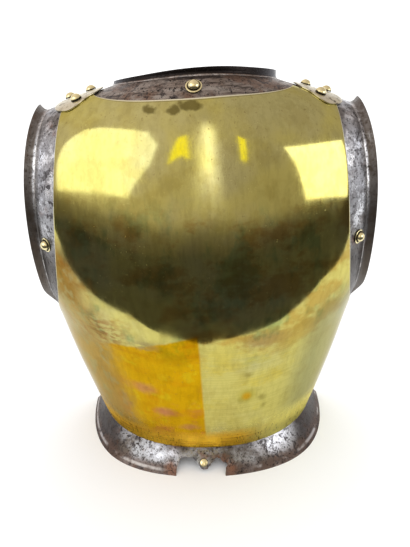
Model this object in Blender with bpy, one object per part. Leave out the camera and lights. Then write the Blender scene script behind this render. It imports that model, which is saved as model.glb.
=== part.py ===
"""Backplate of a heavy cavalry cuirass: a steel plate faced with polished brass sheet.

Metres, +Z up. The plate stands on the edge of its waist flange, which lies on z = 0.
The wearer's spine is at x = 0. The outer face looks along -Y and the open side along +Y.
Shapes are worked out from the plane of the open side. At the end everything moves back by
half the plate's depth, so that the origin is the middle of its base.
"""

import math

import bmesh
import bpy
import numpy as np
from mathutils import Vector

# Sizes of the plate's outer face
SHOULDER_HEIGHT = 0.4235
WAIST_HEIGHT = 0.0237
BACK_DEPTH = 0.1694
HALF_WIDTH = 0.2022
SHOULDER_DROP = 0.0375
NAPE_LIFT = 0.031
NAPE_SPREAD = 0.055
NAPE_START_RUNG = 0.62
FURROW_DEPTH = 0.0045
FURROW_SPREAD = 0.030
FURROW_REACH = 0.048
STEEL_BORDER = 0.0300

# Sheet metal and the running gap between pieces that touch
STEEL_THICK = 0.0012
BRASS_THICK = 0.0006
STRAP_PLATE_THICK = 0.0010
GAP = 0.0003

# Waist flange, its eaten notch in front and the slit at each end
FLANGE_SIDE_FLARE = 0.0150
FLANGE_BACK_FLARE = 0.0220
FLANGE_SQUARE = 0.035
FLANGE_DISH = 0.0022
FLANGE_TRIM = 0.0024
BRASS_WAIST_CLEARANCE = 0.0012
NOTCH_WIDTH = 0.0590
NOTCH_CENTRE = -0.0085
SLIT_LENGTH = 0.034
SLIT_WIDTH = 0.0045
SLIT_DEPTH = 0.015
SLIT_DROP = 0.0020

# Turned-out lip along the arm holes and round the neck
LIP_TURN = math.radians(70)
ARM_LIP_RADIUS = 0.0060
ARM_LIP_STRAIGHT = 0.0040
ARM_LIP_LEAD = 0.0030
ARM_LIP_START_RUNG = 0.285
ARM_LIP_FULL_RUNG = 0.435
ARM_LIP_LEAST = 0.08
NECK_LIP_RADIUS = 0.0040
NECK_LIP_STRAIGHT_LEFT = 0.0006
NECK_LIP_STRAIGHT_RIGHT = 0.0046

# Neck hole, seen from above: half an ellipse at the nape, then straight sides. It was cut
# a little left of the spine.
NECK_HALF_WIDTH = 0.0845
NECK_NAPE = 0.1070
NECK_CENTRE = 0.0290
NECK_LEFTWARD = 0.0035
BRASS_NECK_HALF_WIDTH = 0.0925
BRASS_NECK_NAPE = 0.1250
BRASS_NECK_CENTRE = 0.0750
BRASS_NECK_LEFTWARD = 0.0050
BRASS_BACK_RUNG = 0.885
LOWEST_NECK_RUNG = 0.60

# Strap plates, placed from the brass's corner on each shoulder
STRAP_PLATE_INWARD = 0.0160
STRAP_PLATE_BEHIND = 0.0025
STRAP_PLATE_HALF_WIDTH = 0.0225
STRAP_PLATE_HALF_LENGTH = 0.0310
STRAP_PLATE_CLEARANCE = 0.0009

# Rivets: a domed head, a shank through every sheet and a tail clenched inside
DOME_RADIUS = 0.0052
DOME_HEIGHT = 0.0047
WASHER_RADIUS = 0.0072
WASHER_THICK = 0.0008
WASHER_EDGE = 0.0005
WAIST_HEAD_RADIUS = 0.0048
WAIST_HEAD_FLAT_RADIUS = 0.0038
WAIST_HEAD_HEIGHT = 0.0012
WAIST_HEAD_EDGE = 0.0005
SHANK_RADIUS = 0.0020
TAIL_RADIUS = 0.0034
TAIL_END_RADIUS = 0.0027
TAIL_THICK = 0.0012
TAIL_CLEARANCE = 0.0011
RIVET_SIDES = 10
NECK_RIVET_X = -0.0035
ARM_RIVET_RUNG = 0.580
ARM_RIVET_INSET = 0.0150

# Cross-sections from the waist crease up to the shoulder line, equally spaced rungs.
# Each column is a share: height of the rise, depth of BACK_DEPTH, half of HALF_WIDTH,
# drop of SHOULDER_DROP and furrow of FURROW_DEPTH; square is how boxy the section is.
SECTION_COLUMNS = ("height", "depth", "half", "drop", "square", "furrow")
SECTIONS = (
    (0.000, 0.770, 0.700, 0.00, 0.012, 0.30),
    (0.197, 0.883, 0.829, 0.00, -0.016, 0.75),
    (0.358, 0.952, 0.903, 0.00, -0.020, 0.90),
    (0.525, 1.000, 0.959, 0.05, 0.006, 0.58),
    (0.786, 0.910, 1.000, 0.36, 0.022, 0.26),
    (0.977, 0.669, 0.911, 0.91, 0.022, 0.18),
    (1.000, 0.090, 0.881, 1.12, 0.011, 0.00),
)

# Side edge of the plate: the angle round from the spine at which it ends, in degrees,
# and the bare steel between that edge and the brass, as a share of STEEL_BORDER.
SIDE_COLUMNS = ("rung", "angle", "border")
SIDES = (
    (0.00, 90.0, 0.20),
    (0.12, 90.0, 0.27),
    (0.24, 88.5, 0.42),
    (0.32, 82.0, 0.63),
    (0.40, 71.5, 0.83),
    (0.50, 59.5, 0.95),
    (0.57, 53.8, 1.00),
    (0.65, 50.0, 1.00),
    (0.80, 50.7, 0.93),
    (0.92, 57.3, 0.77),
    (1.00, 67.3, 0.65),
)

# Lower outline of the eaten notch, across as a share of NOTCH_WIDTH from its centre
# and up as a share of WAIST_HEIGHT. The tongue in the middle carries the waist rivet.
NOTCH = (
    (-0.50, -0.30),
    (-0.50, 0.10),
    (-0.49, 0.24),
    (-0.46, 0.39),
    (-0.42, 0.53),
    (-0.36, 0.60),
    (-0.22, 0.60),
    (-0.13, 0.52),
    (-0.07, 0.40),
    (-0.02, 0.27),
    (0.05, 0.21),
    (0.12, 0.25),
    (0.17, 0.34),
    (0.23, 0.46),
    (0.33, 0.59),
    (0.41, 0.46),
    (0.49, 0.38),
    (0.51, 0.27),
    (0.47, 0.10),
    (0.48, -0.30),
)
TONGUE_ACROSS = 0.06
TONGUE_UP = 0.43

# Outline of a strap plate, as pairs of bearing in degrees and reach from its middle in
# shares of its half width and half length, from the outer side round by the back edge.
STRAP_OUTLINE = (
    (0, 0.98), (20, 1.02), (40, 1.12), (52, 1.16), (64, 1.06), (78, 0.98), (90, 1.00),
    (103, 0.94), (116, 0.98), (128, 1.04), (142, 1.02), (160, 0.96), (180, 0.98),
    (200, 0.96), (216, 0.93), (230, 0.86), (244, 0.90), (258, 0.98), (272, 1.04),
    (286, 1.06), (300, 1.04), (314, 1.06), (328, 1.08), (344, 1.04),
)

# Rivets of a strap plate: across it and along it, in the same shares
STRAP_RIVETS = ((0.00, -0.58), (-0.36, 0.42), (0.54, 0.36))

# Mesh fineness
FURROW_PANELS = 6
BACK_PANELS = 5
BORDER_PANELS = 2
BODY_ROWS = 22
ROW_CROWDING = 1.5
NECK_BORDER_ROWS = 2
SHOULDER_ROWS = 4
LIP_STEPS = 3
FLANGE_ROWS = 3
STRAP_RINGS = 4
NECK_SEARCH_STEPS = 400
STEP = 1e-4

# Cutters reach past what they cut
HOLE_REACH = 0.008
TABLE_DEPTH = 0.050


def material(name, colour, roughness, metallic):
    made = bpy.data.materials.new(name)
    made.use_nodes = True
    shader = made.node_tree.nodes["Principled BSDF"]
    shader.inputs["Base Color"].default_value = (*colour, 1.0)
    shader.inputs["Roughness"].default_value = roughness
    shader.inputs["Metallic"].default_value = metallic
    return made


def column(table, names, name):
    return [row[names.index(name)] for row in table]


def spline(knots, values):
    """A natural cubic curve through the knots, as a function."""
    knots = np.asarray(knots, float)
    values = np.asarray(values, float)
    last = len(knots) - 1
    gaps = np.diff(knots)
    system = np.zeros((last + 1, last + 1))
    right = np.zeros(last + 1)
    system[0, 0] = system[last, last] = 1.0
    for i in range(1, last):
        system[i, i - 1:i + 2] = gaps[i - 1], 2 * (gaps[i - 1] + gaps[i]), gaps[i]
        rise = (values[i + 1] - values[i]) / gaps[i]
        right[i] = 6 * (rise - (values[i] - values[i - 1]) / gaps[i - 1])
    bend = np.linalg.solve(system, right)

    def curve(at):
        at = np.asarray(at, float)
        i = np.clip(np.searchsorted(knots, at, side="right") - 1, 0, last - 1)
        near = (knots[i + 1] - at) / gaps[i]
        far = (at - knots[i]) / gaps[i]
        sag = (near ** 3 - near) * bend[i] + (far ** 3 - far) * bend[i + 1]
        return near * values[i] + far * values[i + 1] + sag * gaps[i] ** 2 / 6

    return curve


RUNGS = np.linspace(0, 1, len(SECTIONS))
SECTION = {name: spline(RUNGS, column(SECTIONS, SECTION_COLUMNS, name)) for name in SECTION_COLUMNS}
SIDE_RUNGS = column(SIDES, SIDE_COLUMNS, "rung")
SIDE_ANGLE = spline(SIDE_RUNGS, column(SIDES, SIDE_COLUMNS, "angle"))
BORDER_SHARE = spline(SIDE_RUNGS, column(SIDES, SIDE_COLUMNS, "border"))


def face(turn, rung):
    """A point of the outer face: turn is the angle round from the spine, rung the height."""
    turn, rung = np.broadcast_arrays(np.asarray(turn, float), np.asarray(rung, float))
    square = SECTION["square"](rung)
    half = HALF_WIDTH * SECTION["half"](rung) / (1 - square)
    depth = BACK_DEPTH * SECTION["depth"](rung) / (1 - square)
    x = half * (np.sin(turn) + square * np.sin(3 * turn))
    y = -depth * (np.cos(turn) - square * np.cos(3 * turn))
    furrow = FURROW_DEPTH * SECTION["furrow"](rung)
    y = y + furrow * np.exp(-(x / FURROW_SPREAD) ** 2) * np.cos(turn)
    z = WAIST_HEIGHT + (SHOULDER_HEIGHT - WAIST_HEIGHT) * SECTION["height"](rung)
    z = z - SHOULDER_DROP * SECTION["drop"](rung) * np.sin(turn) ** 2
    lift = NAPE_LIFT * np.clip((rung - NAPE_START_RUNG) / (1 - NAPE_START_RUNG), 0, 2) ** 2
    z = z + lift * np.exp(-(x / NAPE_SPREAD) ** 2)
    return np.stack([x, y, z], -1)


def normalised(vectors):
    return vectors / np.linalg.norm(vectors, axis=-1, keepdims=True)


def slopes(turn, rung):
    """How the outer face runs sideways and upwards at a point."""
    sideways = (face(turn + STEP, rung) - face(turn - STEP, rung)) / (2 * STEP)
    upwards = (face(turn, rung + STEP) - face(turn, rung - STEP)) / (2 * STEP)
    return sideways, upwards


def outward(turn, rung):
    sideways, upwards = slopes(turn, rung)
    return normalised(np.cross(sideways, upwards))


def side_turn(rung):
    return np.radians(np.minimum(SIDE_ANGLE(rung), 90.0))


def brass_turn(rung):
    edge = side_turn(rung)
    width = np.linalg.norm(slopes(edge, rung)[0], axis=-1)
    return edge - STEEL_BORDER * BORDER_SHARE(rung) / width


def neck_measure(point, half_width, nape, centre, leftward):
    """Under 1 inside the neck hole and over 1 outside it."""
    back = np.minimum(point[..., 1] + centre, 0.0) / (nape - centre)
    return ((point[..., 0] + leftward) / half_width) ** 2 + back ** 2


def along_column(share, highest, *neck):
    """Rungs up a column, at a share of the way to the brass edge, and how far it is off the neck."""
    rungs = np.linspace(LOWEST_NECK_RUNG, highest, NECK_SEARCH_STEPS)
    return rungs, neck_measure(face(share * brass_turn(rungs), rungs), *neck)


def top_rung(share, highest, *neck):
    """Where a column of the plate first meets the neck hole."""
    rungs, measure = along_column(share, highest, *neck)
    high = rungs[np.argmax(measure < 1.0)]
    low = high - (rungs[1] - rungs[0])
    for _ in range(20):
        middle = (low + high) / 2
        if neck_measure(face(share * brass_turn(middle), middle), *neck) < 1.0:
            high = middle
        else:
            low = middle
    return (low + high) / 2


def neck_corner(side, highest, *neck):
    """Share and rung at which the outermost column of a side only just touches the neck hole."""
    low, high = 0.0, 1.0
    for _ in range(30):
        middle = (low + high) / 2
        if np.min(along_column(side * middle, highest, *neck)[1]) < 1.0:
            low = middle
        else:
            high = middle
    rungs, measure = along_column(side * high, highest, *neck)
    return high, rungs[np.argmin(measure)]


NECK = (NECK_HALF_WIDTH, NECK_NAPE, NECK_CENTRE, NECK_LEFTWARD)
BRASS_NECK = (BRASS_NECK_HALF_WIDTH, BRASS_NECK_NAPE, BRASS_NECK_CENTRE, BRASS_NECK_LEFTWARD)


class Grid:
    """Columns from the left edge to the right one and rows up the face, shared by both sheets."""

    def __init__(self):
        left, right = self.half(-1), self.half(1)
        self.shares = np.concatenate([-left["shares"][:0:-1], right["shares"]])
        self.middle = len(right["shares"]) - 1
        self.right_corner = self.middle + right["corner"]
        self.left_corner = self.middle - left["corner"]
        self.lowest = BRASS_WAIST_CLEARANCE / (SHOULDER_HEIGHT - WAIST_HEIGHT)
        self.brass_ups = 1 - (1 - np.linspace(0, 1, BODY_ROWS)) ** ROW_CROWDING
        self.neck_row = BODY_ROWS + NECK_BORDER_ROWS
        self.tops = left["tops"][:0:-1] + right["tops"]
        self.brass_tops = left["brass_tops"][:0:-1] + right["brass_tops"]

    def half(self, side):
        """Columns of one side from the spine outwards, and where each meets the neck hole."""
        neck, neck_rung = neck_corner(side, 1.0, *NECK)
        brass, brass_rung = neck_corner(side, BRASS_BACK_RUNG, *BRASS_NECK)
        inner = np.linspace(0, FURROW_REACH / HALF_WIDTH, FURROW_PANELS // 2 + 1)
        to_neck = np.linspace(inner[-1], neck, BACK_PANELS)[1:]
        to_brass = np.linspace(neck, brass, 3)[1:]
        to_edge = np.linspace(brass, 1, BACK_PANELS)[1:]
        shares = np.concatenate([inner, to_neck, to_brass, to_edge])
        tops = []
        brass_tops = []
        for share in shares:
            tops.append(neck_rung if share >= neck else top_rung(side * share, 1.0, *NECK))
            brass_tops.append(
                brass_rung if share >= brass else top_rung(side * share, BRASS_BACK_RUNG, *BRASS_NECK))
        corner = len(inner) + len(to_neck) - 1
        return {"shares": shares, "tops": tops, "brass_tops": brass_tops, "corner": corner}

    def on_shoulder(self, column_number):
        return column_number <= self.left_corner or column_number >= self.right_corner

    def rungs(self, at):
        """Rungs of one column: waist crease, brass, bare border, and on over the shoulder."""
        brass = self.lowest + (self.brass_tops[at] - self.lowest) * self.brass_ups
        border = np.linspace(self.brass_tops[at], self.tops[at], NECK_BORDER_ROWS + 1)[1:]
        shoulder = np.linspace(self.tops[at], 1.0, SHOULDER_ROWS + 1)[1:]
        return np.concatenate([[0.0], brass, border, shoulder])


def lip_profile(radius, straight):
    """Steps of a turned-out lip: distance onward along the face and distance out of it."""
    steps = []
    for angle in np.linspace(0, LIP_TURN, LIP_STEPS + 1)[1:]:
        steps.append((radius * math.sin(angle), radius * (1 - math.cos(angle))))
    onward, out = steps[-1]
    steps.append((onward + straight * math.cos(LIP_TURN), out + straight * math.sin(LIP_TURN)))
    return steps


def flange_edge(turn):
    """Outer edge of the waist flange, on the table."""
    half = (face(math.pi / 2, 0.0)[0] + FLANGE_SIDE_FLARE) / (1 - FLANGE_SQUARE)
    depth = (FLANGE_BACK_FLARE - face(0.0, 0.0)[1]) / (1 - FLANGE_SQUARE)
    x = half * (np.sin(turn) + FLANGE_SQUARE * np.sin(3 * turn))
    y = -depth * (np.cos(turn) - FLANGE_SQUARE * np.cos(3 * turn))
    return np.stack([x, y, 0 * turn], -1)


def flange_rows(turn):
    """Points from the waist crease down to the flange's edge, and a little past the table."""
    crease = face(turn, 0.0)
    outer = flange_edge(turn)
    inward = np.stack([-np.sin(turn), np.cos(turn), 0 * turn], -1)
    rows = []
    for share in np.linspace(0, 1, FLANGE_ROWS + 1)[1:]:
        dish = 4 * FLANGE_DISH * share * (1 - share)
        rows.append(crease + share * (outer - crease) + dish * inward)
    rows.append(rows[-1] + FLANGE_TRIM / WAIST_HEIGHT * (outer - crease))
    return rows


def quad(low_left, low_right, high_right, high_left, side):
    """A cell split along its shorter diagonal, because rows rise from the spine outwards."""
    if side > 0:
        return (low_right, high_right, high_left, low_left)
    return (low_left, low_right, high_right, high_left)


def sheet_object(name, points, cells, finish):
    """An open sheet of quads, split the same way everywhere so that sheets stay parallel."""
    work = bmesh.new()
    keys = {}
    for key, point in points.items():
        keys[key] = work.verts.new(Vector(point))
    for cell in cells:
        work.faces.new([keys[key] for key in cell])
    bmesh.ops.triangulate(work, faces=work.faces[:], quad_method="FIXED")
    mesh = bpy.data.meshes.new(name)
    work.to_mesh(mesh)
    work.free()
    made = bpy.data.objects.new(name, mesh)
    bpy.context.collection.objects.link(made)
    mesh.materials.append(finish)
    mesh.shade_smooth()
    mesh.set_sharp_from_angle(angle=math.radians(40))
    return made


def thicken(piece, thickness, side):
    wall = piece.modifiers.new("wall", "SOLIDIFY")
    wall.thickness = thickness
    wall.offset = side
    wall.use_even_offset = True


def cut(piece, cutter):
    taken = piece.modifiers.new("cut_" + cutter.name, "BOOLEAN")
    taken.operation = "DIFFERENCE"
    taken.solver = "EXACT"
    taken.object = cutter


def as_cutter(name, work):
    mesh = bpy.data.meshes.new(name)
    bmesh.ops.recalc_face_normals(work, faces=work.faces[:])
    work.to_mesh(mesh)
    work.free()
    made = bpy.data.objects.new(name, mesh)
    bpy.context.collection.objects.link(made)
    made.hide_render = True
    made.display_type = "WIRE"
    return made


def lip_lead_turn(rung):
    """Where the bend of the arm hole's lip begins, a little inside the plate's side edge."""
    edge = side_turn(rung)
    return edge - ARM_LIP_LEAD / np.linalg.norm(slopes(edge, rung)[0], axis=-1)


def steel_sheet(grid, finish):
    """The outer face of the steel: back, flange, arm lips and neck lip in one sheet."""
    points = {}
    cells = []
    columns = len(grid.shares)
    rungs = [grid.rungs(i) for i in range(columns)]
    turns = [share * brass_turn(at) for share, at in zip(grid.shares, rungs)]
    for side, first in ((-1, 0), (1, columns - 1)):
        at = rungs[first]
        inner = brass_turn(at)
        outer = lip_lead_turn(at)
        for k in range(1, BORDER_PANELS + 1):
            turn = side * (inner + k / BORDER_PANELS * (outer - inner))
            for j, point in enumerate(face(turn, at)):
                points[(first + side * k, j)] = point
        add_arm_lip(points, cells, side, first + side * BORDER_PANELS, at)
    for i in range(columns):
        for j, point in enumerate(face(turns[i], rungs[i])):
            if j <= grid.neck_row or grid.on_shoulder(i):
                points[(i, j)] = point
    for i in range(-BORDER_PANELS, columns + BORDER_PANELS - 1):
        on_shoulder = grid.on_shoulder(i) and grid.on_shoulder(i + 1)
        rows = len(rungs[0]) - 1 if on_shoulder else grid.neck_row
        for j in range(rows):
            cells.append(quad((i, j), (i + 1, j), (i + 1, j + 1), (i, j + 1), i + 0.5 - grid.middle))
    add_flange(points, cells, np.array([turn[0] for turn in turns]))
    add_neck_lip(points, cells, grid, turns, rungs)
    return sheet_object("steel_plate", points, cells, finish)


def add_flange(points, cells, turns):
    border = np.linspace(brass_turn(0.0), lip_lead_turn(0.0), BORDER_PANELS + 1)[1:]
    spread = np.concatenate([-border[::-1], turns, border])
    strips = flange_rows(spread)
    for j, strip in enumerate(strips):
        for i, point in enumerate(strip):
            points[("flange", i - BORDER_PANELS, j)] = point
    for i in range(-BORDER_PANELS, len(turns) + BORDER_PANELS - 1):
        above = ((i, 0), (i + 1, 0))
        for j in range(len(strips)):
            below = (("flange", i, j), ("flange", i + 1, j))
            cells.append((below[0], below[1], above[1], above[0]))
            above = below


def add_arm_lip(points, cells, side, edge_column, rungs):
    """The lip along one arm hole. It grows out of the side edge at the underarm."""
    turns = side * lip_lead_turn(rungs)
    edge = face(turns, rungs)
    out = outward(turns, rungs)
    along = normalised(np.gradient(edge, axis=0))
    onward = normalised(np.cross(along, out)) * side
    rise = np.clip((rungs - ARM_LIP_START_RUNG) / (ARM_LIP_FULL_RUNG - ARM_LIP_START_RUNG), 0, 1)
    growth = ARM_LIP_LEAST + (1 - ARM_LIP_LEAST) * rise * rise * (3 - 2 * rise)
    steps = lip_profile(ARM_LIP_RADIUS, ARM_LIP_STRAIGHT)
    first = int(np.argmax(rungs > ARM_LIP_START_RUNG))
    for j in range(first, len(rungs)):
        for k, (on, off) in enumerate(steps):
            points[("arm", side, k, j)] = edge[j] + growth[j] * (on * onward[j] + off * out[j])
    for j in range(first, len(rungs) - 1):
        near = ((edge_column, j), (edge_column, j + 1))
        for k in range(len(steps)):
            far = (("arm", side, k, j), ("arm", side, k, j + 1))
            cell = (near[0], far[0], far[1], near[1])
            cells.append(cell if side > 0 else cell[::-1])
            near = far


def add_neck_lip(points, cells, grid, turns, rungs):
    """The collar's lip, which stands a little taller towards the right."""
    inside = range(grid.left_corner, grid.right_corner + 1)
    turn = np.array([turns[i][grid.neck_row] for i in inside])
    rung = np.array([rungs[i][grid.neck_row] for i in inside])
    edge = face(turn, rung)
    out = outward(turn, rung)
    along = normalised(np.gradient(edge, axis=0))
    onward = normalised(np.cross(out, along))
    growth = NECK_LIP_STRAIGHT_RIGHT - NECK_LIP_STRAIGHT_LEFT
    for at, i in enumerate(inside):
        across = (1 + (edge[at][0] + NECK_LEFTWARD) / NECK_HALF_WIDTH) / 2
        steps = lip_profile(NECK_LIP_RADIUS, NECK_LIP_STRAIGHT_LEFT + across * growth)
        for k, (on, off) in enumerate(steps):
            points[("neck", i, k)] = edge[at] + on * onward[at] + off * out[at]
    for i in inside[:-1]:
        near = ((i, grid.neck_row), (i + 1, grid.neck_row))
        for k in range(LIP_STEPS + 1):
            far = (("neck", i, k), ("neck", i + 1, k))
            cells.append((near[0], near[1], far[1], far[0]))
            near = far


def brass_sheet(grid, finish):
    """The brass lies a gap off the steel's own facets, inside a border of bare steel."""
    points = {}
    cells = []
    for i, share in enumerate(grid.shares):
        rungs = grid.rungs(i)[1:BODY_ROWS + 1]
        turns = share * brass_turn(rungs)
        lifted = face(turns, rungs) + GAP * outward(turns, rungs)
        for j, point in enumerate(lifted):
            points[(i, j)] = point
    for i in range(len(grid.shares) - 1):
        for j in range(BODY_ROWS - 1):
            cells.append(quad((i, j), (i + 1, j), (i + 1, j + 1), (i, j + 1), i + 0.5 - grid.middle))
    made = sheet_object("brass_cover", points, cells, finish)
    thicken(made, BRASS_THICK, 1.0)
    return made


def seat(x, y):
    """Turn and rung of the face below a point seen from above, found by Newton's rule."""
    turn = math.asin(x / HALF_WIDTH)
    rung = BRASS_BACK_RUNG
    for _ in range(30):
        here = face(turn, rung)
        sideways, upwards = slopes(turn, rung)
        miss = np.array([x - here[0], y - here[1]])
        change = np.linalg.solve(np.array([sideways[:2], upwards[:2]]).T, miss)
        turn += float(np.clip(change[0], -0.1, 0.1))
        rung += float(np.clip(change[1], -0.03, 0.03))
    return turn, rung


SHOULDER_CORNER = face(brass_turn(BRASS_BACK_RUNG), BRASS_BACK_RUNG)


def strap_point(side, across, along):
    """A place on the shoulder, in shares of a strap plate's half width and half length."""
    x = SHOULDER_CORNER[0] - STRAP_PLATE_INWARD + across * STRAP_PLATE_HALF_WIDTH
    y = SHOULDER_CORNER[1] + STRAP_PLATE_BEHIND + along * STRAP_PLATE_HALF_LENGTH
    return seat(side * x, y)


STRAP_PLATE_LIFT = GAP + BRASS_THICK + STRAP_PLATE_CLEARANCE


def strap_plate(name, side, finish):
    """A thin lobed plate that follows the shoulder, laid over the brass."""
    rings = STRAP_RINGS
    points = {}
    middle = strap_point(side, 0, 0)
    points["middle"] = face(*middle) + STRAP_PLATE_LIFT * outward(*middle)
    count = len(STRAP_OUTLINE)
    for k, (bearing, reach) in enumerate(STRAP_OUTLINE):
        angle = math.radians(bearing)
        for ring in range(1, rings + 1):
            share = reach * ring / rings
            spot = strap_point(side, share * math.cos(angle), share * math.sin(angle))
            points[(k, ring)] = face(*spot) + STRAP_PLATE_LIFT * outward(*spot)
    cells = []
    for k in range(count):
        after = (k + 1) % count
        cells.append(("middle", (k, 1), (after, 1)))
        for ring in range(1, rings):
            cells.append(((k, ring), (k, ring + 1), (after, ring + 1), (after, ring)))
    if side < 0:
        cells = [cell[::-1] for cell in cells]
    made = sheet_object(name, points, cells, finish)
    thicken(made, STRAP_PLATE_THICK, 1.0)
    return made


def lathe(name, outline, place, direction, finish):
    """A turned piece: (radius, height) points spun round an axis that stands on the face."""
    work = bmesh.new()
    verts = [work.verts.new((radius, 0.0, height)) for radius, height in outline]
    edges = [work.edges.new(pair) for pair in zip(verts, verts[1:])]
    bmesh.ops.spin(work, geom=verts + edges, cent=(0, 0, 0), axis=(0, 0, 1),
                   angle=2 * math.pi, steps=RIVET_SIDES, use_merge=True)
    bmesh.ops.remove_doubles(work, verts=work.verts[:], dist=1e-6)
    bmesh.ops.recalc_face_normals(work, faces=work.faces[:])
    turn = Vector((0, 0, 1)).rotation_difference(Vector(direction)).to_matrix()
    bmesh.ops.rotate(work, verts=work.verts[:], cent=(0, 0, 0), matrix=turn)
    bmesh.ops.translate(work, verts=work.verts[:], vec=Vector(place))
    mesh = bpy.data.meshes.new(name)
    work.to_mesh(mesh)
    work.free()
    mesh.materials.append(finish)
    mesh.shade_smooth()
    mesh.set_sharp_from_angle(angle=math.radians(50))
    made = bpy.data.objects.new(name, mesh)
    bpy.context.collection.objects.link(made)
    return made


def rivet_outline(seat_height, depth, head):
    """Half section of a rivet from the top of its head to the bottom of its tail."""
    under = seat_height + GAP
    outline = [(radius, under + height) for radius, height in head]
    outline.append((SHANK_RADIUS, under))
    tail = -depth - TAIL_CLEARANCE
    outline.append((SHANK_RADIUS, tail))
    outline.append((TAIL_RADIUS, tail))
    outline.append((TAIL_END_RADIUS, tail - TAIL_THICK))
    outline.append((0.0, tail - TAIL_THICK))
    return outline


def dome(base_radius, base_thick):
    """A domed head, on a thin washer where the base is wider than the dome."""
    head = [(0.0, base_thick + DOME_HEIGHT)]
    for angle in (30, 60, 90):
        turned = math.radians(angle)
        head.append((DOME_RADIUS * math.sin(turned), base_thick + DOME_HEIGHT * math.cos(turned)))
    if base_radius > DOME_RADIUS:
        head.append((base_radius, WASHER_EDGE))
        head.append((base_radius, 0.0))
    else:
        head.append((DOME_RADIUS, 0.0))
    return head


def waist_head():
    """A head worn flat, with a short slope round it."""
    return [(0.0, WAIST_HEAD_HEIGHT), (WAIST_HEAD_FLAT_RADIUS, WAIST_HEAD_HEIGHT),
            (WAIST_HEAD_RADIUS, WAIST_HEAD_EDGE), (WAIST_HEAD_RADIUS, 0.0)]


def hole(place, direction, name):
    """A cutter for a rivet's hole through every sheet at a place."""
    work = bmesh.new()
    bmesh.ops.create_cone(work, cap_ends=True, segments=RIVET_SIDES, radius1=SHANK_RADIUS + GAP,
                          radius2=SHANK_RADIUS + GAP, depth=2 * HOLE_REACH)
    turn = Vector((0, 0, 1)).rotation_difference(Vector(direction)).to_matrix()
    bmesh.ops.rotate(work, verts=work.verts[:], cent=(0, 0, 0), matrix=turn)
    bmesh.ops.translate(work, verts=work.verts[:], vec=Vector(place))
    return as_cutter(name, work)


def notch_cutter():
    """A prism of the eaten outline, long enough to pass through the flange's front."""
    front = -BACK_DEPTH - FLANGE_BACK_FLARE
    back = -BACK_DEPTH / 2
    work = bmesh.new()
    ring = []
    for across, up in NOTCH:
        x = NOTCH_CENTRE + across * NOTCH_WIDTH
        ring.append(work.verts.new((x, front, up * WAIST_HEIGHT)))
    base = work.faces.new(ring)
    grown = bmesh.ops.extrude_face_region(work, geom=[base])
    moved = [item for item in grown["geom"] if isinstance(item, bmesh.types.BMVert)]
    bmesh.ops.translate(work, verts=moved, vec=(0, back - front, 0))
    return as_cutter("notch", work)


def slit_cutter(side):
    """A narrow slot along the waist crease, in from the side edge."""
    rim = face(side * lip_lead_turn(0.0), 0.0)
    work = bmesh.new()
    bmesh.ops.create_cube(work, size=1.0)
    bmesh.ops.scale(work, verts=work.verts[:], vec=(2 * SLIT_DEPTH, 2 * SLIT_LENGTH, SLIT_WIDTH))
    bmesh.ops.translate(work, verts=work.verts[:], vec=(rim[0], rim[1], WAIST_HEIGHT - SLIT_DROP))
    return as_cutter("slit_" + ("left" if side < 0 else "right"), work)


def table_cutter():
    """A block under the table plane, which trims the flange's edge flat."""
    reach = 4 * (BACK_DEPTH + HALF_WIDTH)
    work = bmesh.new()
    bmesh.ops.create_cube(work, size=1.0)
    bmesh.ops.scale(work, verts=work.verts[:], vec=(reach, reach, TABLE_DEPTH))
    bmesh.ops.translate(work, verts=work.verts[:], vec=(0, 0, -TABLE_DEPTH / 2))
    return as_cutter("table", work)


def flange_spot(x, up):
    """A point of the flange's outer face and its direction, on the tongue."""
    turn = math.asin(x / face(math.pi / 2, 0.0)[0])
    rows = [face(turn, 0.0)] + [row[0] for row in flange_rows(np.array([turn]))]
    height = up * WAIST_HEIGHT
    for above, below in zip(rows, rows[1:]):
        if below[2] <= height:
            share = (above[2] - height) / (above[2] - below[2])
            place = above + share * (below - above)
            run = normalised(below - above)
            return place, normalised(np.cross(np.array([1.0, 0.0, 0.0]), -run))
    return rows[-1], normalised(np.array([0.0, -1.0, 0.0]))


def rivet_places(grid):
    """Name, place, direction, sheets above the steel and head of every rivet."""
    places = []
    rung = (grid.brass_tops[grid.middle] + grid.tops[grid.middle]) / 2
    turn = math.asin(NECK_RIVET_X / face(math.pi / 2, rung)[0])
    washer = dome(WASHER_RADIUS, WASHER_THICK)
    places.append(("neck_rivet", face(turn, rung), outward(turn, rung), 0.0, washer))
    for side, word in ((-1, "left"), (1, "right")):
        angle = side_turn(ARM_RIVET_RUNG)
        width = np.linalg.norm(slopes(angle, ARM_RIVET_RUNG)[0])
        turn = side * (angle - ARM_RIVET_INSET / width)
        spot = face(turn, ARM_RIVET_RUNG)
        places.append(("arm_rivet_" + word, spot, outward(turn, ARM_RIVET_RUNG), 0.0, washer))
    spot, direction = flange_spot(NOTCH_CENTRE + TONGUE_ACROSS * NOTCH_WIDTH, TONGUE_UP)
    places.append(("waist_rivet", spot, direction, 0.0, waist_head()))
    lift = STRAP_PLATE_LIFT + STRAP_PLATE_THICK
    for side, word in ((-1, "left"), (1, "right")):
        for k, (across, along) in enumerate(STRAP_RIVETS):
            spot = strap_point(side, across, along)
            places.append((f"shoulder_rivet_{word}_{k + 1}", face(*spot), outward(*spot), lift,
                           dome(DOME_RADIUS, 0.0)))
    return places


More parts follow.
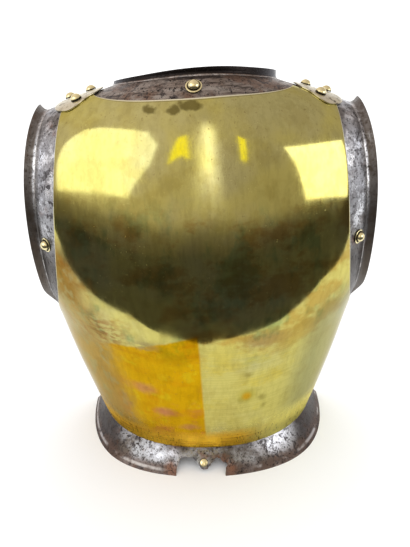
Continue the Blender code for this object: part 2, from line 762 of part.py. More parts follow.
def build():
    for old in list(bpy.data.objects):
        bpy.data.objects.remove(old, do_unlink=True)
    steel = material("steel", (0.32, 0.30, 0.30), 0.38, 1.0)
    brass = material("brass", (0.80, 0.62, 0.22), 0.12, 1.0)
    pale_brass = material("pale_brass", (0.70, 0.62, 0.40), 0.30, 1.0)
    rivet_brass = material("rivet_brass", (0.86, 0.70, 0.32), 0.15, 1.0)

    grid = Grid()
    plate = steel_sheet(grid, steel)
    thicken(plate, STEEL_THICK, -1.0)
    cover = brass_sheet(grid, brass)
    straps = [strap_plate("shoulder_plate_left", -1, pale_brass),
              strap_plate("shoulder_plate_right", 1, pale_brass)]
    cut(plate, table_cutter())
    cut(plate, notch_cutter())
    cut(plate, slit_cutter(-1))
    cut(plate, slit_cutter(1))

    for name, place, direction, lift, head in rivet_places(grid):
        outline = rivet_outline(lift, STEEL_THICK, head)
        lathe(name, outline, place, direction, rivet_brass)
        cutter = hole(place, direction, name + "_hole")
        cut(plate, cutter)
        if lift > 0:
            cut(cover, cutter)
            side = 1 if place[0] > 0 else 0
            cut(straps[side], cutter)
    for piece in bpy.data.objects:
        piece.location.y += BACK_DEPTH / 2


build()
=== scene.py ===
# %% [markdown]
# Backplate of a heavy cavalry cuirass.
# The real thing is a plate of steel about a millimetre thick, beaten over a stake until it
# fits a rider's back, and faced with a sheet of polished brass. It stands here on its waist
# flange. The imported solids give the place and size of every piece. This script gives each one
# its fine surface and its finish.

# %% Load the frame
import math

import bpy
import numpy as np
from mathutils import Matrix, Vector


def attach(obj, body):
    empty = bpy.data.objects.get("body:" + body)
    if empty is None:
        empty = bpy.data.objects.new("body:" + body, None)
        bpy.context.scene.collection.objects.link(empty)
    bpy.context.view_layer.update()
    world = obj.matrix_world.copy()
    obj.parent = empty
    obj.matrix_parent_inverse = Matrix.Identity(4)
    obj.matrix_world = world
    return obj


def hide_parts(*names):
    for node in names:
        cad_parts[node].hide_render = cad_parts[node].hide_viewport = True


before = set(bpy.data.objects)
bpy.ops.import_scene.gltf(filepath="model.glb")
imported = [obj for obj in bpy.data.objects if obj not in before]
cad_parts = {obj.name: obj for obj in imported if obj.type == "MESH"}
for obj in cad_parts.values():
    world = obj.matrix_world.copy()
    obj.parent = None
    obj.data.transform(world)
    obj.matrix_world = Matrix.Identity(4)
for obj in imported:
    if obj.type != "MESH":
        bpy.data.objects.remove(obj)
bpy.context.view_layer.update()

# %% [markdown]
# The plate's sizes. The back is worked out from cross-sections, as a patternmaker would draw
# it: each rung of the ladder from waist to shoulder has a width, a depth and a boxiness, and a
# smooth curve runs through the rungs. The same numbers shaped the solids, so the fine surface
# lies exactly where they do.

# %% Sizes of the plate
SHOULDER_HEIGHT = 0.4235
WAIST_HEIGHT = 0.0237
BACK_DEPTH = 0.1694
HALF_WIDTH = 0.2022
SHOULDER_DROP = 0.0375
NAPE_LIFT = 0.031
NAPE_SPREAD = 0.055
NAPE_START_RUNG = 0.62
FURROW_DEPTH = 0.0045
FURROW_SPREAD = 0.030
STEEL_BORDER = 0.0300
STEEL_THICK = 0.0012
BRASS_THICK = 0.0006
STRAP_PLATE_THICK = 0.0010
GAP = 0.0003
FLANGE_SIDE_FLARE = 0.0150
FLANGE_BACK_FLARE = 0.0220
FLANGE_SQUARE = 0.035
FLANGE_DISH = 0.0022
FLANGE_TRIM = 0.0024
BRASS_WAIST_CLEARANCE = 0.0012
NOTCH_WIDTH = 0.0590
NOTCH_CENTRE = -0.0085
SLIT_LENGTH = 0.034
SLIT_WIDTH = 0.0045
SLIT_DEPTH = 0.015
SLIT_DROP = 0.0020
LIP_TURN = math.radians(70)
ARM_LIP_RADIUS = 0.0060
ARM_LIP_STRAIGHT = 0.0040
ARM_LIP_LEAD = 0.0030
ARM_LIP_START_RUNG = 0.285
ARM_LIP_FULL_RUNG = 0.435
ARM_LIP_LEAST = 0.08
NECK_LIP_RADIUS = 0.0040
NECK_LIP_STRAIGHT_LEFT = 0.0006
NECK_LIP_STRAIGHT_RIGHT = 0.0046
NECK = {"half_width": 0.0845, "nape": 0.1070, "centre": 0.0290, "leftward": 0.0035}
BRASS_NECK = {"half_width": 0.0925, "nape": 0.1250, "centre": 0.0750, "leftward": 0.0050}
BRASS_BACK_RUNG = 0.885
LOWEST_NECK_RUNG = 0.60
STRAP_PLATE_INWARD = 0.0160
STRAP_PLATE_BEHIND = 0.0025
STRAP_PLATE_HALF_WIDTH = 0.0225
STRAP_PLATE_HALF_LENGTH = 0.0310
STRAP_PLATE_GAP = 0.0004
STRAP_PLATE_LIFT = GAP + BRASS_THICK + STRAP_PLATE_GAP
NECK_RIVET_X = -0.0035
ARM_RIVET_RUNG = 0.580
ARM_RIVET_INSET = 0.0150
SECTION_COLUMNS = ("height", "depth", "half", "drop", "square", "furrow")
SECTIONS = (
    (0.000, 0.770, 0.700, 0.00, 0.012, 0.30),
    (0.197, 0.883, 0.829, 0.00, -0.016, 0.75),
    (0.358, 0.952, 0.903, 0.00, -0.020, 0.90),
    (0.525, 1.000, 0.959, 0.05, 0.006, 0.58),
    (0.786, 0.910, 1.000, 0.36, 0.022, 0.26),
    (0.977, 0.669, 0.911, 0.91, 0.022, 0.18),
    (1.000, 0.090, 0.881, 1.12, 0.011, 0.00),
)
SIDE_COLUMNS = ("rung", "angle", "border")
SIDES = (
    (0.00, 90.0, 0.20),
    (0.12, 90.0, 0.27),
    (0.24, 88.5, 0.42),
    (0.32, 82.0, 0.63),
    (0.40, 71.5, 0.83),
    (0.50, 59.5, 0.95),
    (0.57, 53.8, 1.00),
    (0.65, 50.0, 1.00),
    (0.80, 50.7, 0.93),
    (0.92, 57.3, 0.77),
    (1.00, 67.3, 0.65),
)
SLOPE_STEP = 1e-4

# %% The face of the plate


def column(table, names, name):
    return [row[names.index(name)] for row in table]


def spline(knots, values):
    """A natural cubic curve through the knots, as a function."""
    knots = np.asarray(knots, float)
    values = np.asarray(values, float)
    last = len(knots) - 1
    gaps = np.diff(knots)
    system = np.zeros((last + 1, last + 1))
    right = np.zeros(last + 1)
    system[0, 0] = system[last, last] = 1.0
    for i in range(1, last):
        system[i, i - 1:i + 2] = gaps[i - 1], 2 * (gaps[i - 1] + gaps[i]), gaps[i]
        rise = (values[i + 1] - values[i]) / gaps[i]
        right[i] = 6 * (rise - (values[i] - values[i - 1]) / gaps[i - 1])
    bend = np.linalg.solve(system, right)

    def curve(at):
        at = np.asarray(at, float)
        i = np.clip(np.searchsorted(knots, at, side="right") - 1, 0, last - 1)
        near = (knots[i + 1] - at) / gaps[i]
        far = (at - knots[i]) / gaps[i]
        sag = (near ** 3 - near) * bend[i] + (far ** 3 - far) * bend[i + 1]
        return near * values[i] + far * values[i + 1] + sag * gaps[i] ** 2 / 6

    return curve


RUNGS = np.linspace(0, 1, len(SECTIONS))
SECTION = {name: spline(RUNGS, column(SECTIONS, SECTION_COLUMNS, name)) for name in SECTION_COLUMNS}
SIDE_RUNGS = column(SIDES, SIDE_COLUMNS, "rung")
SIDE_ANGLE = spline(SIDE_RUNGS, column(SIDES, SIDE_COLUMNS, "angle"))
BORDER_SHARE = spline(SIDE_RUNGS, column(SIDES, SIDE_COLUMNS, "border"))


def face(turn, rung):
    """A point of the outer face: turn is the angle round from the spine, rung the height."""
    turn, rung = np.broadcast_arrays(np.asarray(turn, float), np.asarray(rung, float))
    square = SECTION["square"](rung)
    half = HALF_WIDTH * SECTION["half"](rung) / (1 - square)
    depth = BACK_DEPTH * SECTION["depth"](rung) / (1 - square)
    x = half * (np.sin(turn) + square * np.sin(3 * turn))
    y = -depth * (np.cos(turn) - square * np.cos(3 * turn))
    furrow = FURROW_DEPTH * SECTION["furrow"](rung)
    y = y + furrow * np.exp(-(x / FURROW_SPREAD) ** 2) * np.cos(turn)
    z = WAIST_HEIGHT + (SHOULDER_HEIGHT - WAIST_HEIGHT) * SECTION["height"](rung)
    z = z - SHOULDER_DROP * SECTION["drop"](rung) * np.sin(turn) ** 2
    lift = NAPE_LIFT * np.clip((rung - NAPE_START_RUNG) / (1 - NAPE_START_RUNG), 0, 2) ** 2
    z = z + lift * np.exp(-(x / NAPE_SPREAD) ** 2)
    return np.stack([x, y, z], -1)


def normalised(vectors):
    return vectors / np.linalg.norm(vectors, axis=-1, keepdims=True)


def slopes(turn, rung):
    """How the outer face runs sideways and upwards at a point."""
    sideways = (face(turn + SLOPE_STEP, rung) - face(turn - SLOPE_STEP, rung)) / (2 * SLOPE_STEP)
    upwards = (face(turn, rung + SLOPE_STEP) - face(turn, rung - SLOPE_STEP)) / (2 * SLOPE_STEP)
    return sideways, upwards


def outward(turn, rung):
    sideways, upwards = slopes(turn, rung)
    return normalised(np.cross(sideways, upwards))


def side_turn(rung):
    return np.radians(np.minimum(SIDE_ANGLE(rung), 90.0))


def inset_turn(rung, inset):
    """The angle that lies a distance in from the plate's side edge."""
    edge = side_turn(rung)
    return edge - inset / np.linalg.norm(slopes(edge, rung)[0], axis=-1)


def brass_turn(rung):
    return inset_turn(rung, STEEL_BORDER * BORDER_SHARE(rung))


print("face spans", face(0.0, 0.5).round(3), "to", face(side_turn(0.5), 0.5).round(3))

# %% [markdown]
# Where the neck hole cuts the plate. From above, the hole is half an ellipse at the nape with
# straight sides. Every column of the surface is followed upwards until it meets that outline,
# once for the steel and once for the brass, which stops a finger's width lower.

# %% Where columns end at the neck
SEARCH_STEPS = 400
HALVINGS = 30


def neck_measure(point, half_width, nape, centre, leftward):
    """Under 1 inside the neck hole and over 1 outside it."""
    back = np.minimum(point[..., 1] + centre, 0.0) / (nape - centre)
    return ((point[..., 0] + leftward) / half_width) ** 2 + back ** 2


def along_column(share, highest, neck):
    rungs = np.linspace(LOWEST_NECK_RUNG, highest, SEARCH_STEPS)
    return rungs, neck_measure(face(share * brass_turn(rungs), rungs), **neck)


def neck_corner(side, highest, neck):
    """Share and rung at which the outermost column of a side only just touches the neck hole."""
    low, high = 0.0, 1.0
    for _ in range(HALVINGS):
        middle = (low + high) / 2
        if np.min(along_column(side * middle, highest, neck)[1]) < 1.0:
            low = middle
        else:
            high = middle
    rungs, measure = along_column(side * high, highest, neck)
    return high, rungs[np.argmin(measure)]


def top_rungs(shares, highest, neck):
    """Where each column meets the neck hole, or the corner's rung beyond the hole."""
    corners = {side: neck_corner(side, highest, neck) for side in (-1, 1)}
    tops = []
    for share in shares:
        corner, corner_rung = corners[-1 if share < 0 else 1]
        rungs, measure = along_column(share, highest, neck)
        if abs(share) >= corner or not np.any(measure < 1.0):
            tops.append(corner_rung)
            continue
        first = int(np.argmax(measure < 1.0))
        before, after = measure[first - 1], measure[first]
        part = (before - 1.0) / (before - after)
        tops.append(rungs[first - 1] + part * (rungs[first] - rungs[first - 1]))
    return np.array(tops)


LEFT_SHARE, LEFT_RUNG = neck_corner(-1, 1.0, NECK)
RIGHT_SHARE, RIGHT_RUNG = neck_corner(1, 1.0, NECK)
print("collar ends at shares", round(-LEFT_SHARE, 3), "and", round(RIGHT_SHARE, 3))

# %% [markdown]
# A helper for formed sheet. A smith starts from a flat blank and beats it to shape. Here a flat
# grid is the blank: it is added with as many cells as the surface needs, each vertex is then
# moved to its place on the plate, and the cells that fall in no metal are deleted.

# %% Helpers: blanks, walls, cuts and finishing
MERGE_WITHIN = 1e-6
BEVEL_CORNERS = math.radians(60)
SMOOTH_CORNERS = math.radians(35)


def alone(piece):
    """Selects one piece and nothing else."""
    bpy.ops.object.select_all(action="DESELECT")
    piece.select_set(True)
    bpy.context.view_layer.objects.active = piece


def added(name, add, **settings):
    """Adds one of Blender's own shapes, as the only thing selected, and names it."""
    bpy.ops.object.select_all(action="DESELECT")
    add(**settings)
    piece = bpy.context.object
    piece.name = piece.data.name = name
    return piece


def open_mesh(piece):
    """Goes into edit mode with the whole of one mesh selected."""
    alone(piece)
    bpy.ops.object.mode_set(mode="EDIT")
    bpy.ops.mesh.select_all(action="SELECT")


def blank(name, columns, rows):
    """A flat grid, with the column and row of each vertex and each face."""
    piece = added(name, bpy.ops.mesh.primitive_grid_add, size=2,
                  x_subdivisions=columns, y_subdivisions=rows)
    corners = np.array([vertex.co[:2] for vertex in piece.data.vertices])
    middles = np.array([polygon.center[:2] for polygon in piece.data.polygons])
    cells = np.array([columns, rows])
    at = np.rint((corners + 1) / 2 * cells).astype(int)
    within = np.floor((middles + 1) / 2 * cells).astype(int)
    return piece, at, within


def form(piece, at, places):
    """Moves each vertex of a blank to its place on the plate."""
    piece.data.vertices.foreach_set("co", places[at[:, 0], at[:, 1]].astype(float).ravel())
    piece.data.update()


def remove_cells(piece, unwanted):
    """Deletes the chosen faces, then joins the vertices that have come together."""
    alone(piece)
    bpy.ops.object.mode_set(mode="EDIT")
    bpy.ops.mesh.select_mode(type="FACE")
    bpy.ops.mesh.select_all(action="DESELECT")
    bpy.ops.object.mode_set(mode="OBJECT")
    piece.data.polygons.foreach_set("select", unwanted)
    bpy.ops.object.mode_set(mode="EDIT")
    if unwanted.any():
        bpy.ops.mesh.delete(type="FACE")
    bpy.ops.mesh.select_all(action="SELECT")
    bpy.ops.mesh.remove_doubles(threshold=MERGE_WITHIN)
    bpy.ops.mesh.delete_loose()
    bpy.ops.object.mode_set(mode="OBJECT")


def apply(piece, modifier):
    alone(piece)
    bpy.ops.object.modifier_apply(modifier=modifier.name)


def give_wall(piece, thickness, side, inner_slot=0):
    wall = piece.modifiers.new("wall", "SOLIDIFY")
    wall.thickness = thickness
    wall.offset = side
    wall.use_even_offset = True
    wall.material_offset = inner_slot
    apply(piece, wall)


def cut_away(piece, cutter):
    """Cuts one shape out of a piece and throws the cutter away."""
    taken = piece.modifiers.new("cut", "BOOLEAN")
    taken.operation = "DIFFERENCE"
    taken.solver = "EXACT"
    taken.object = cutter
    apply(piece, taken)
    bpy.data.objects.remove(cutter, do_unlink=True)


def soften(piece, width):
    """Takes the knife edge off a piece and shades it smooth."""
    edge = piece.modifiers.new("edge", "BEVEL")
    edge.width = width
    edge.segments = 2
    edge.limit_method = "ANGLE"
    edge.angle_limit = BEVEL_CORNERS
    edge.use_clamp_overlap = True
    apply(piece, edge)
    alone(piece)
    bpy.ops.object.shade_smooth_by_angle(angle=SMOOTH_CORNERS)


def report(piece):
    print(piece.name, "has", len(piece.data.polygons), "faces")


def settle(piece, node):
    """The piece rides on the body, hides the plain solid and prints how many faces it has."""
    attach(piece, "root")
    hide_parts(node)
    report(piece)


# %% [markdown]
# Shallow waves. Brass sheet that was planished by hand is never quite true, and the mirror
# shows it: straight reflections come back as slow curves. A few long ripples of a few
# hundredths of a millimetre, shared by both sheets, give that.

# %% Ripples of the hammered sheet
RIPPLE_COLUMNS = ("height", "across", "up", "phase")
RIPPLES = (
    (0.00008, 31.0, 44.0, 0.4),
    (0.00006, -52.0, 37.0, 1.9),
    (0.00004, 83.0, -21.0, 3.1),
    (0.00003, 64.0, 97.0, 5.0),
)
MIDDLE = np.array([0.0, BACK_DEPTH / 2, 0.0])


def ripple(points):
    total = np.zeros(points.shape[:-1])
    for height, across, up, phase in RIPPLES:
        total += height * np.sin(across * points[..., 0] + up * points[..., 2] + phase)
    return total[..., None]


def surface(turn, rung, lift=0.0):
    """The face with its ripples, a distance out of it, in the frame's own place."""
    points = face(turn, rung)
    return points + (lift + ripple(points)) * outward(turn, rung) + MIDDLE


print("ripples are up to", round(1000 * sum(column(RIPPLES, RIPPLE_COLUMNS, "height")), 2), "mm high")

# %% [markdown]
# The steel plate. The real one is one sheet: the back, the waist flange, the lips that are
# turned out along the arm holes and the neck, and the two shoulders. The blank has its columns
# in this order: left lip, left border, back, right border, right lip. At the two ends of the
# collar a column is doubled, so that the collar can turn out while the shoulder goes on.

# %% Columns and rows of the steel
LIP_CELLS = 12
BORDER_CELLS = 8
SHOULDER_CELLS = 24
COLLAR_CELLS = 96
FLANGE_CELLS = 12
BODY_CELLS = 120
LIP_BENDS = LIP_CELLS - 1


def lip_profile(radius, straight):
    """Steps of a turned-out lip: distance onward along the face and distance out of it."""
    angles = np.linspace(0, LIP_TURN, LIP_BENDS + 1)
    onward = list(radius * np.sin(angles))
    out = list(radius * (1 - np.cos(angles)))
    onward.append(onward[-1] + straight * math.cos(LIP_TURN))
    out.append(out[-1] + straight * math.sin(LIP_TURN))
    return np.array(onward), np.array(out)


def steel_columns():
    """Share of the way from the spine to the brass edge, for each column of the back."""
    left = np.linspace(-1, -LEFT_SHARE, SHOULDER_CELLS + 1)
    collar = np.linspace(-LEFT_SHARE, RIGHT_SHARE, COLLAR_CELLS + 1)
    right = np.linspace(RIGHT_SHARE, 1, SHOULDER_CELLS + 1)
    return np.concatenate([left, collar, right])


ARM_LIP_REACH = lip_profile(ARM_LIP_RADIUS, ARM_LIP_STRAIGHT)[1][-1]
print("the arm lips stand", round(1000 * ARM_LIP_REACH, 1), "mm out")

# %% [markdown]
# The waist flange runs on from the lowest rung of the back. It flares out to the table in one
# row of cells after another, slightly dished, as sheet is when it is stretched outwards.

# %% The waist flange


def flange_edge(turn):
    """Outer edge of the waist flange, on the table."""
    half = (face(math.pi / 2, 0.0)[0] + FLANGE_SIDE_FLARE) / (1 - FLANGE_SQUARE)
    depth = (FLANGE_BACK_FLARE - face(0.0, 0.0)[1]) / (1 - FLANGE_SQUARE)
    x = half * (np.sin(turn) + FLANGE_SQUARE * np.sin(3 * turn))
    y = -depth * (np.cos(turn) - FLANGE_SQUARE * np.cos(3 * turn))
    return np.stack([x, y, 0 * turn], -1)


def flange_point(turn, share):
    """A point of the flange, a share of the way from the waist crease to its edge."""
    crease = face(turn, 0.0)
    run = flange_edge(turn) - crease
    inward = np.stack([-np.sin(turn), np.cos(turn), 0 * turn], -1)
    dish = 4 * FLANGE_DISH * max(share * (1 - share), 0)
    return crease + share * run + dish * inward


print("the flange reaches", (flange_edge(0.0) + MIDDLE).round(4), "at the spine")

# %% [markdown]
# Now every vertex of the steel gets its place: the back first, then the bare borders at its
# sides, the flange below, and last the lips, which grow out of the borders and of the neck.

# %% The place of every vertex


def rungs_of(top):
    """Rungs up a column of the steel: to its top, and on to the shoulder's end."""
    body = np.linspace(0, top, BODY_CELLS + 1)
    return np.concatenate([body, np.linspace(top, 1.0, LIP_CELLS + 1)[1:]])


def steel_places():
    """The place of every vertex of the steel blank, and how far it is on a lip."""
    shares = steel_columns()
    tops = top_rungs(shares, 1.0, NECK)
    edge_fractions = np.arange(1, BORDER_CELLS + 1) / BORDER_CELLS
    columns = LIP_CELLS + BORDER_CELLS + len(shares) + BORDER_CELLS + LIP_CELLS
    rows = FLANGE_CELLS + BODY_CELLS + LIP_CELLS + 1
    places = np.zeros((columns, rows, 3))
    lip = np.zeros((columns, rows))
    first = LIP_CELLS + BORDER_CELLS
    on_collar = np.ones(len(shares), bool)
    on_collar[:SHOULDER_CELLS + 1] = False
    on_collar[-SHOULDER_CELLS - 1:] = False

    for i, (share, top) in enumerate(zip(shares, tops)):
        at = rungs_of(top)
        places[first + i, FLANGE_CELLS:] = surface(share * brass_turn(at), at)
    for side, corner_rung in ((-1, LEFT_RUNG), (1, RIGHT_RUNG)):
        side_rungs = rungs_of(corner_rung)
        start, end = brass_turn(side_rungs), inset_turn(side_rungs, ARM_LIP_LEAD)
        edge_column = first - 1 if side < 0 else first + len(shares)
        for k, fraction in enumerate(edge_fractions):
            turns = side * (start + fraction * (end - start))
            places[edge_column + side * k, FLANGE_CELLS:] = surface(turns, side_rungs)
        add_arm_lip(places, lip, side, edge_column + side * BORDER_CELLS, side_rungs)
    border = brass_turn(0.0) + edge_fractions * (inset_turn(0.0, ARM_LIP_LEAD) - brass_turn(0.0))
    turns = np.concatenate([-border[::-1], shares * brass_turn(0.0), border])
    for j in range(FLANGE_CELLS):
        share = (1 + FLANGE_TRIM / WAIST_HEIGHT) * (FLANGE_CELLS - j) / FLANGE_CELLS
        places[LIP_CELLS:-LIP_CELLS, j] = flange_point(turns, share) + MIDDLE
    add_collar(places, lip, first, shares, tops, on_collar)
    return places, lip


def add_arm_lip(places, lip, side, edge_column, rungs):
    """The lip along one arm hole. It grows out of the side edge at the underarm."""
    turns = side * inset_turn(rungs, ARM_LIP_LEAD)
    edge = surface(turns, rungs)
    out = outward(turns, rungs)
    along = normalised(np.gradient(edge, axis=0))
    onward = normalised(np.cross(along, out)) * side
    rise = np.clip((rungs - ARM_LIP_START_RUNG) / (ARM_LIP_FULL_RUNG - ARM_LIP_START_RUNG), 0, 1)
    growth = (ARM_LIP_LEAST + (1 - ARM_LIP_LEAST) * rise * rise * (3 - 2 * rise))[:, None]
    steps = list(zip(*lip_profile(ARM_LIP_RADIUS, ARM_LIP_STRAIGHT)))[1:]
    for k, (on, off) in enumerate(steps):
        target = edge_column + side * k
        places[target, FLANGE_CELLS:] = edge + growth * (on * onward + off * out)
        lip[target, FLANGE_CELLS:] = (k + 1) / LIP_CELLS


def add_collar(places, lip, first, shares, tops, on_collar):
    """The neck's lip, which stands a little taller towards the right."""
    inside = np.flatnonzero(on_collar)
    turn = shares[inside] * brass_turn(tops[inside])
    edge = surface(turn, tops[inside])
    out = outward(turn, tops[inside])
    along = normalised(np.gradient(edge, axis=0))
    onward = normalised(np.cross(out, along))
    growth = NECK_LIP_STRAIGHT_RIGHT - NECK_LIP_STRAIGHT_LEFT
    for at, i in enumerate(inside):
        across = (1 + (edge[at][0] + NECK["leftward"]) / NECK["half_width"]) / 2
        steps = lip_profile(NECK_LIP_RADIUS, NECK_LIP_STRAIGHT_LEFT + across * growth)
        for k, (on, off) in enumerate(zip(*steps)):
            row = FLANGE_CELLS + BODY_CELLS + k
            places[first + i, row] = edge[at] + on * onward[at] + off * out[at]
            lip[first + i, row] = k / LIP_CELLS


places, lip = steel_places()
print("the steel blank has", places.shape[0] - 1, "by", places.shape[1] - 1, "cells")

# %% The steel blank
steel_plate, at, within = blank("steel_plate_sheet", places.shape[0] - 1, places.shape[1] - 1)
form(steel_plate, at, places)
turned = steel_plate.data.attributes.new("lip", "FLOAT", "POINT")
turned.data.foreach_set("value", lip[at[:, 0], at[:, 1]].astype(np.float32))
last_cell = places.shape[0] - 2
lip_start_row = FLANGE_CELLS + int(np.argmax(rungs_of(LEFT_RUNG) > ARM_LIP_START_RUNG))
left_seam = LIP_CELLS + BORDER_CELLS + SHOULDER_CELLS
right_seam = left_seam + COLLAR_CELLS + 1
on_lip = (within[:, 0] < LIP_CELLS) | (within[:, 0] > last_cell - LIP_CELLS)
in_seam = (within[:, 0] == left_seam) | (within[:, 0] == right_seam)
unwanted = (on_lip & (within[:, 1] < lip_start_row)) | in_seam
remove_cells(steel_plate, unwanted)
report(steel_plate)

# %% [markdown]
# The cuts in the steel. At the front the flange is eaten away by rust, with a tongue left in
# the middle that still carries a rivet. A narrow slit at each end of the waist crease took the
# waist strap. The outline of the eaten part goes through a few points and is then roughened,
# because rust never leaves a clean line.

# %% Cutters
NOTCH_COLUMNS = ("across", "up")
NOTCH = (
    (-0.50, -0.30), (-0.50, 0.10), (-0.49, 0.24), (-0.46, 0.39), (-0.42, 0.53),
    (-0.36, 0.60), (-0.22, 0.60), (-0.13, 0.52), (-0.07, 0.40), (-0.02, 0.27),
    (0.05, 0.21), (0.12, 0.25), (0.17, 0.34), (0.23, 0.46), (0.33, 0.59),
    (0.41, 0.46), (0.49, 0.38), (0.51, 0.27), (0.47, 0.10), (0.48, -0.30),
)
NOTCH_STEPS = 90
ROUGH_BY = 0.00025
ROUGH_SHIFT = 7
# Height, pace and phase of each wave along the eaten edge.
ROUGH = (
    (1.0, 5.3, 0.0),
    (0.7, 11.7, 1.0),
    (0.5, 23.1, 2.0),
)
TABLE_DEPTH = 0.050
TABLE_SPAN = 4 * (BACK_DEPTH + HALF_WIDTH)


def block(name, size, place):
    made = added(name, bpy.ops.mesh.primitive_cube_add, size=1.0, location=place)
    made.scale = size
    bpy.ops.object.transform_apply(location=True, rotation=False, scale=True)
    return made


def notch_outline():
    """Points along the eaten edge, smoothed through the table and roughened."""
    knots = np.arange(len(NOTCH))
    steps = np.linspace(0, len(NOTCH) - 1, NOTCH_STEPS)
    x = NOTCH_CENTRE + NOTCH_WIDTH * spline(knots, column(NOTCH, NOTCH_COLUMNS, "across"))(steps)
    z = WAIST_HEIGHT * spline(knots, column(NOTCH, NOTCH_COLUMNS, "up"))(steps)
    rough = sum(height * np.sin(steps * pace + phase) for height, pace, phase in ROUGH)
    rough[[0, -1]] = 0.0
    return x + ROUGH_BY * rough, z + ROUGH_BY * np.roll(rough, ROUGH_SHIFT)


def notch_cutter():
    """The eaten outline as one flat face before the flange, drawn back through the metal."""
    x, z = notch_outline()
    made = added("notch", bpy.ops.mesh.primitive_circle_add,
                 vertices=len(x), radius=1.0, fill_type="NGON")
    front = MIDDLE[1] - BACK_DEPTH - FLANGE_BACK_FLARE
    for vertex, across, up in zip(made.data.vertices, x, z):
        vertex.co = (across, front, up)
    open_mesh(made)
    bpy.ops.mesh.extrude_region_move(TRANSFORM_OT_translate={"value": (0, BACK_DEPTH / 2, 0)})
    bpy.ops.mesh.select_all(action="SELECT")
    bpy.ops.mesh.normals_make_consistent(inside=False)
    bpy.ops.object.mode_set(mode="OBJECT")
    return made


print("the eaten edge is", round(1000 * float(np.ptp(notch_outline()[0])), 1), "mm wide")

# %% [markdown]
# Where the rivets stand. Each one has a place on the face and a direction out of it. They are
# worked out before the cuts, because every rivet's shank needs its hole through the sheets.

# %% Rivet places
STRAP_RIVETS = ((0.00, -0.58), (-0.36, 0.42), (0.54, 0.36))
TONGUE_ACROSS = 0.06
TONGUE_UP = 0.43
TONGUE_STEPS = 101
NEWTON_STEPS = 30
LARGEST_TURN = 0.1
LARGEST_CLIMB = 0.03


def seat(x, y):
    """Turns and rungs of the face below points seen from above, found by Newton's rule."""
    x, y = np.atleast_1d(np.asarray(x, float)), np.atleast_1d(np.asarray(y, float))
    turn = np.arcsin(x / HALF_WIDTH)
    rung = np.full_like(turn, BRASS_BACK_RUNG)
    for _ in range(NEWTON_STEPS):
        here = face(turn, rung)
        sideways, upwards = slopes(turn, rung)
        miss = np.stack([x - here[:, 0], y - here[:, 1]], -1)
        system = np.stack([sideways[:, :2], upwards[:, :2]], -1)
        change = np.linalg.solve(system, miss[..., None])[..., 0]
        turn = turn + np.clip(change[:, 0], -LARGEST_TURN, LARGEST_TURN)
        rung = rung + np.clip(change[:, 1], -LARGEST_CLIMB, LARGEST_CLIMB)
    return turn, rung


SHOULDER_CORNER = face(brass_turn(BRASS_BACK_RUNG), BRASS_BACK_RUNG)


def strap_spots(side, across, along):
    """Places on the shoulder, in shares of a strap plate's half width and half length."""
    x = SHOULDER_CORNER[0] - STRAP_PLATE_INWARD + np.asarray(across) * STRAP_PLATE_HALF_WIDTH
    y = SHOULDER_CORNER[1] + STRAP_PLATE_BEHIND + np.asarray(along) * STRAP_PLATE_HALF_LENGTH
    return seat(side * x, y)


def tongue_spot():
    """The point of the tongue that carries the waist rivet, and its direction."""
    turn = math.asin((NOTCH_CENTRE + TONGUE_ACROSS * NOTCH_WIDTH) / face(math.pi / 2, 0.0)[0])
    shares = np.linspace(0, 1, TONGUE_STEPS)
    row = np.array([flange_point(np.array(turn), share) for share in shares])
    k = int(np.argmin(np.abs(row[:, 2] - TONGUE_UP * WAIST_HEIGHT)))
    run = normalised(row[k + 1] - row[k - 1])
    return row[k], normalised(np.cross(np.array([1.0, 0.0, 0.0]), -run))


def rivet_places():
    """Name, place, direction, metal above the steel and kind of every rivet."""
    found = []
    middle = np.array([0.0])
    brass_top = top_rungs(middle, BRASS_BACK_RUNG, BRASS_NECK)
    steel_top = top_rungs(middle, 1.0, NECK)
    rung = float((brass_top[0] + steel_top[0]) / 2)
    turn = math.asin(NECK_RIVET_X / face(math.pi / 2, rung)[0])
    found.append(("neck_rivet", face(turn, rung), outward(turn, rung), 0.0, "washer"))
    for side, word in ((-1, "left"), (1, "right")):
        turn = side * inset_turn(ARM_RIVET_RUNG, ARM_RIVET_INSET)
        place, direction = face(turn, ARM_RIVET_RUNG), outward(turn, ARM_RIVET_RUNG)
        found.append(("arm_rivet_" + word, place, direction, 0.0, "washer"))
    place, direction = tongue_spot()
    found.append(("waist_rivet", place, direction, 0.0, "worn"))
    lift = STRAP_PLATE_LIFT + STRAP_PLATE_THICK
    for side, word in ((-1, "left"), (1, "right")):
        for k, (across, along) in enumerate(STRAP_RIVETS):
            turn, rung = strap_spots(side, across, along)
            place, direction = face(turn, rung)[0], outward(turn, rung)[0]
            found.append((f"shoulder_rivet_{word}_{k + 1}", place, direction, lift, "dome"))
    return [(name, place + MIDDLE, direction, up, kind) for name, place, direction, up, kind in found]


RIVETS = rivet_places()
print(len(RIVETS), "rivets, the first at", RIVETS[0][1].round(4))

# %% Holes for the rivets
SHANK_RADIUS = 0.0020
HOLE_REACH = 0.008
HOLE_SIDES = 24


def upright(place, direction):
    """The matrix that stands a piece made along Z on a place, along a direction."""
    turn = Vector((0, 0, 1)).rotation_difference(Vector(direction)).to_matrix().to_4x4()
    return Matrix.Translation(Vector(place)) @ turn


def put(piece, matrix):
    """Sets a piece down and leaves its own frame at the origin."""
    piece.matrix_world = matrix
    alone(piece)
    bpy.ops.object.transform_apply(location=True, rotation=True, scale=True)


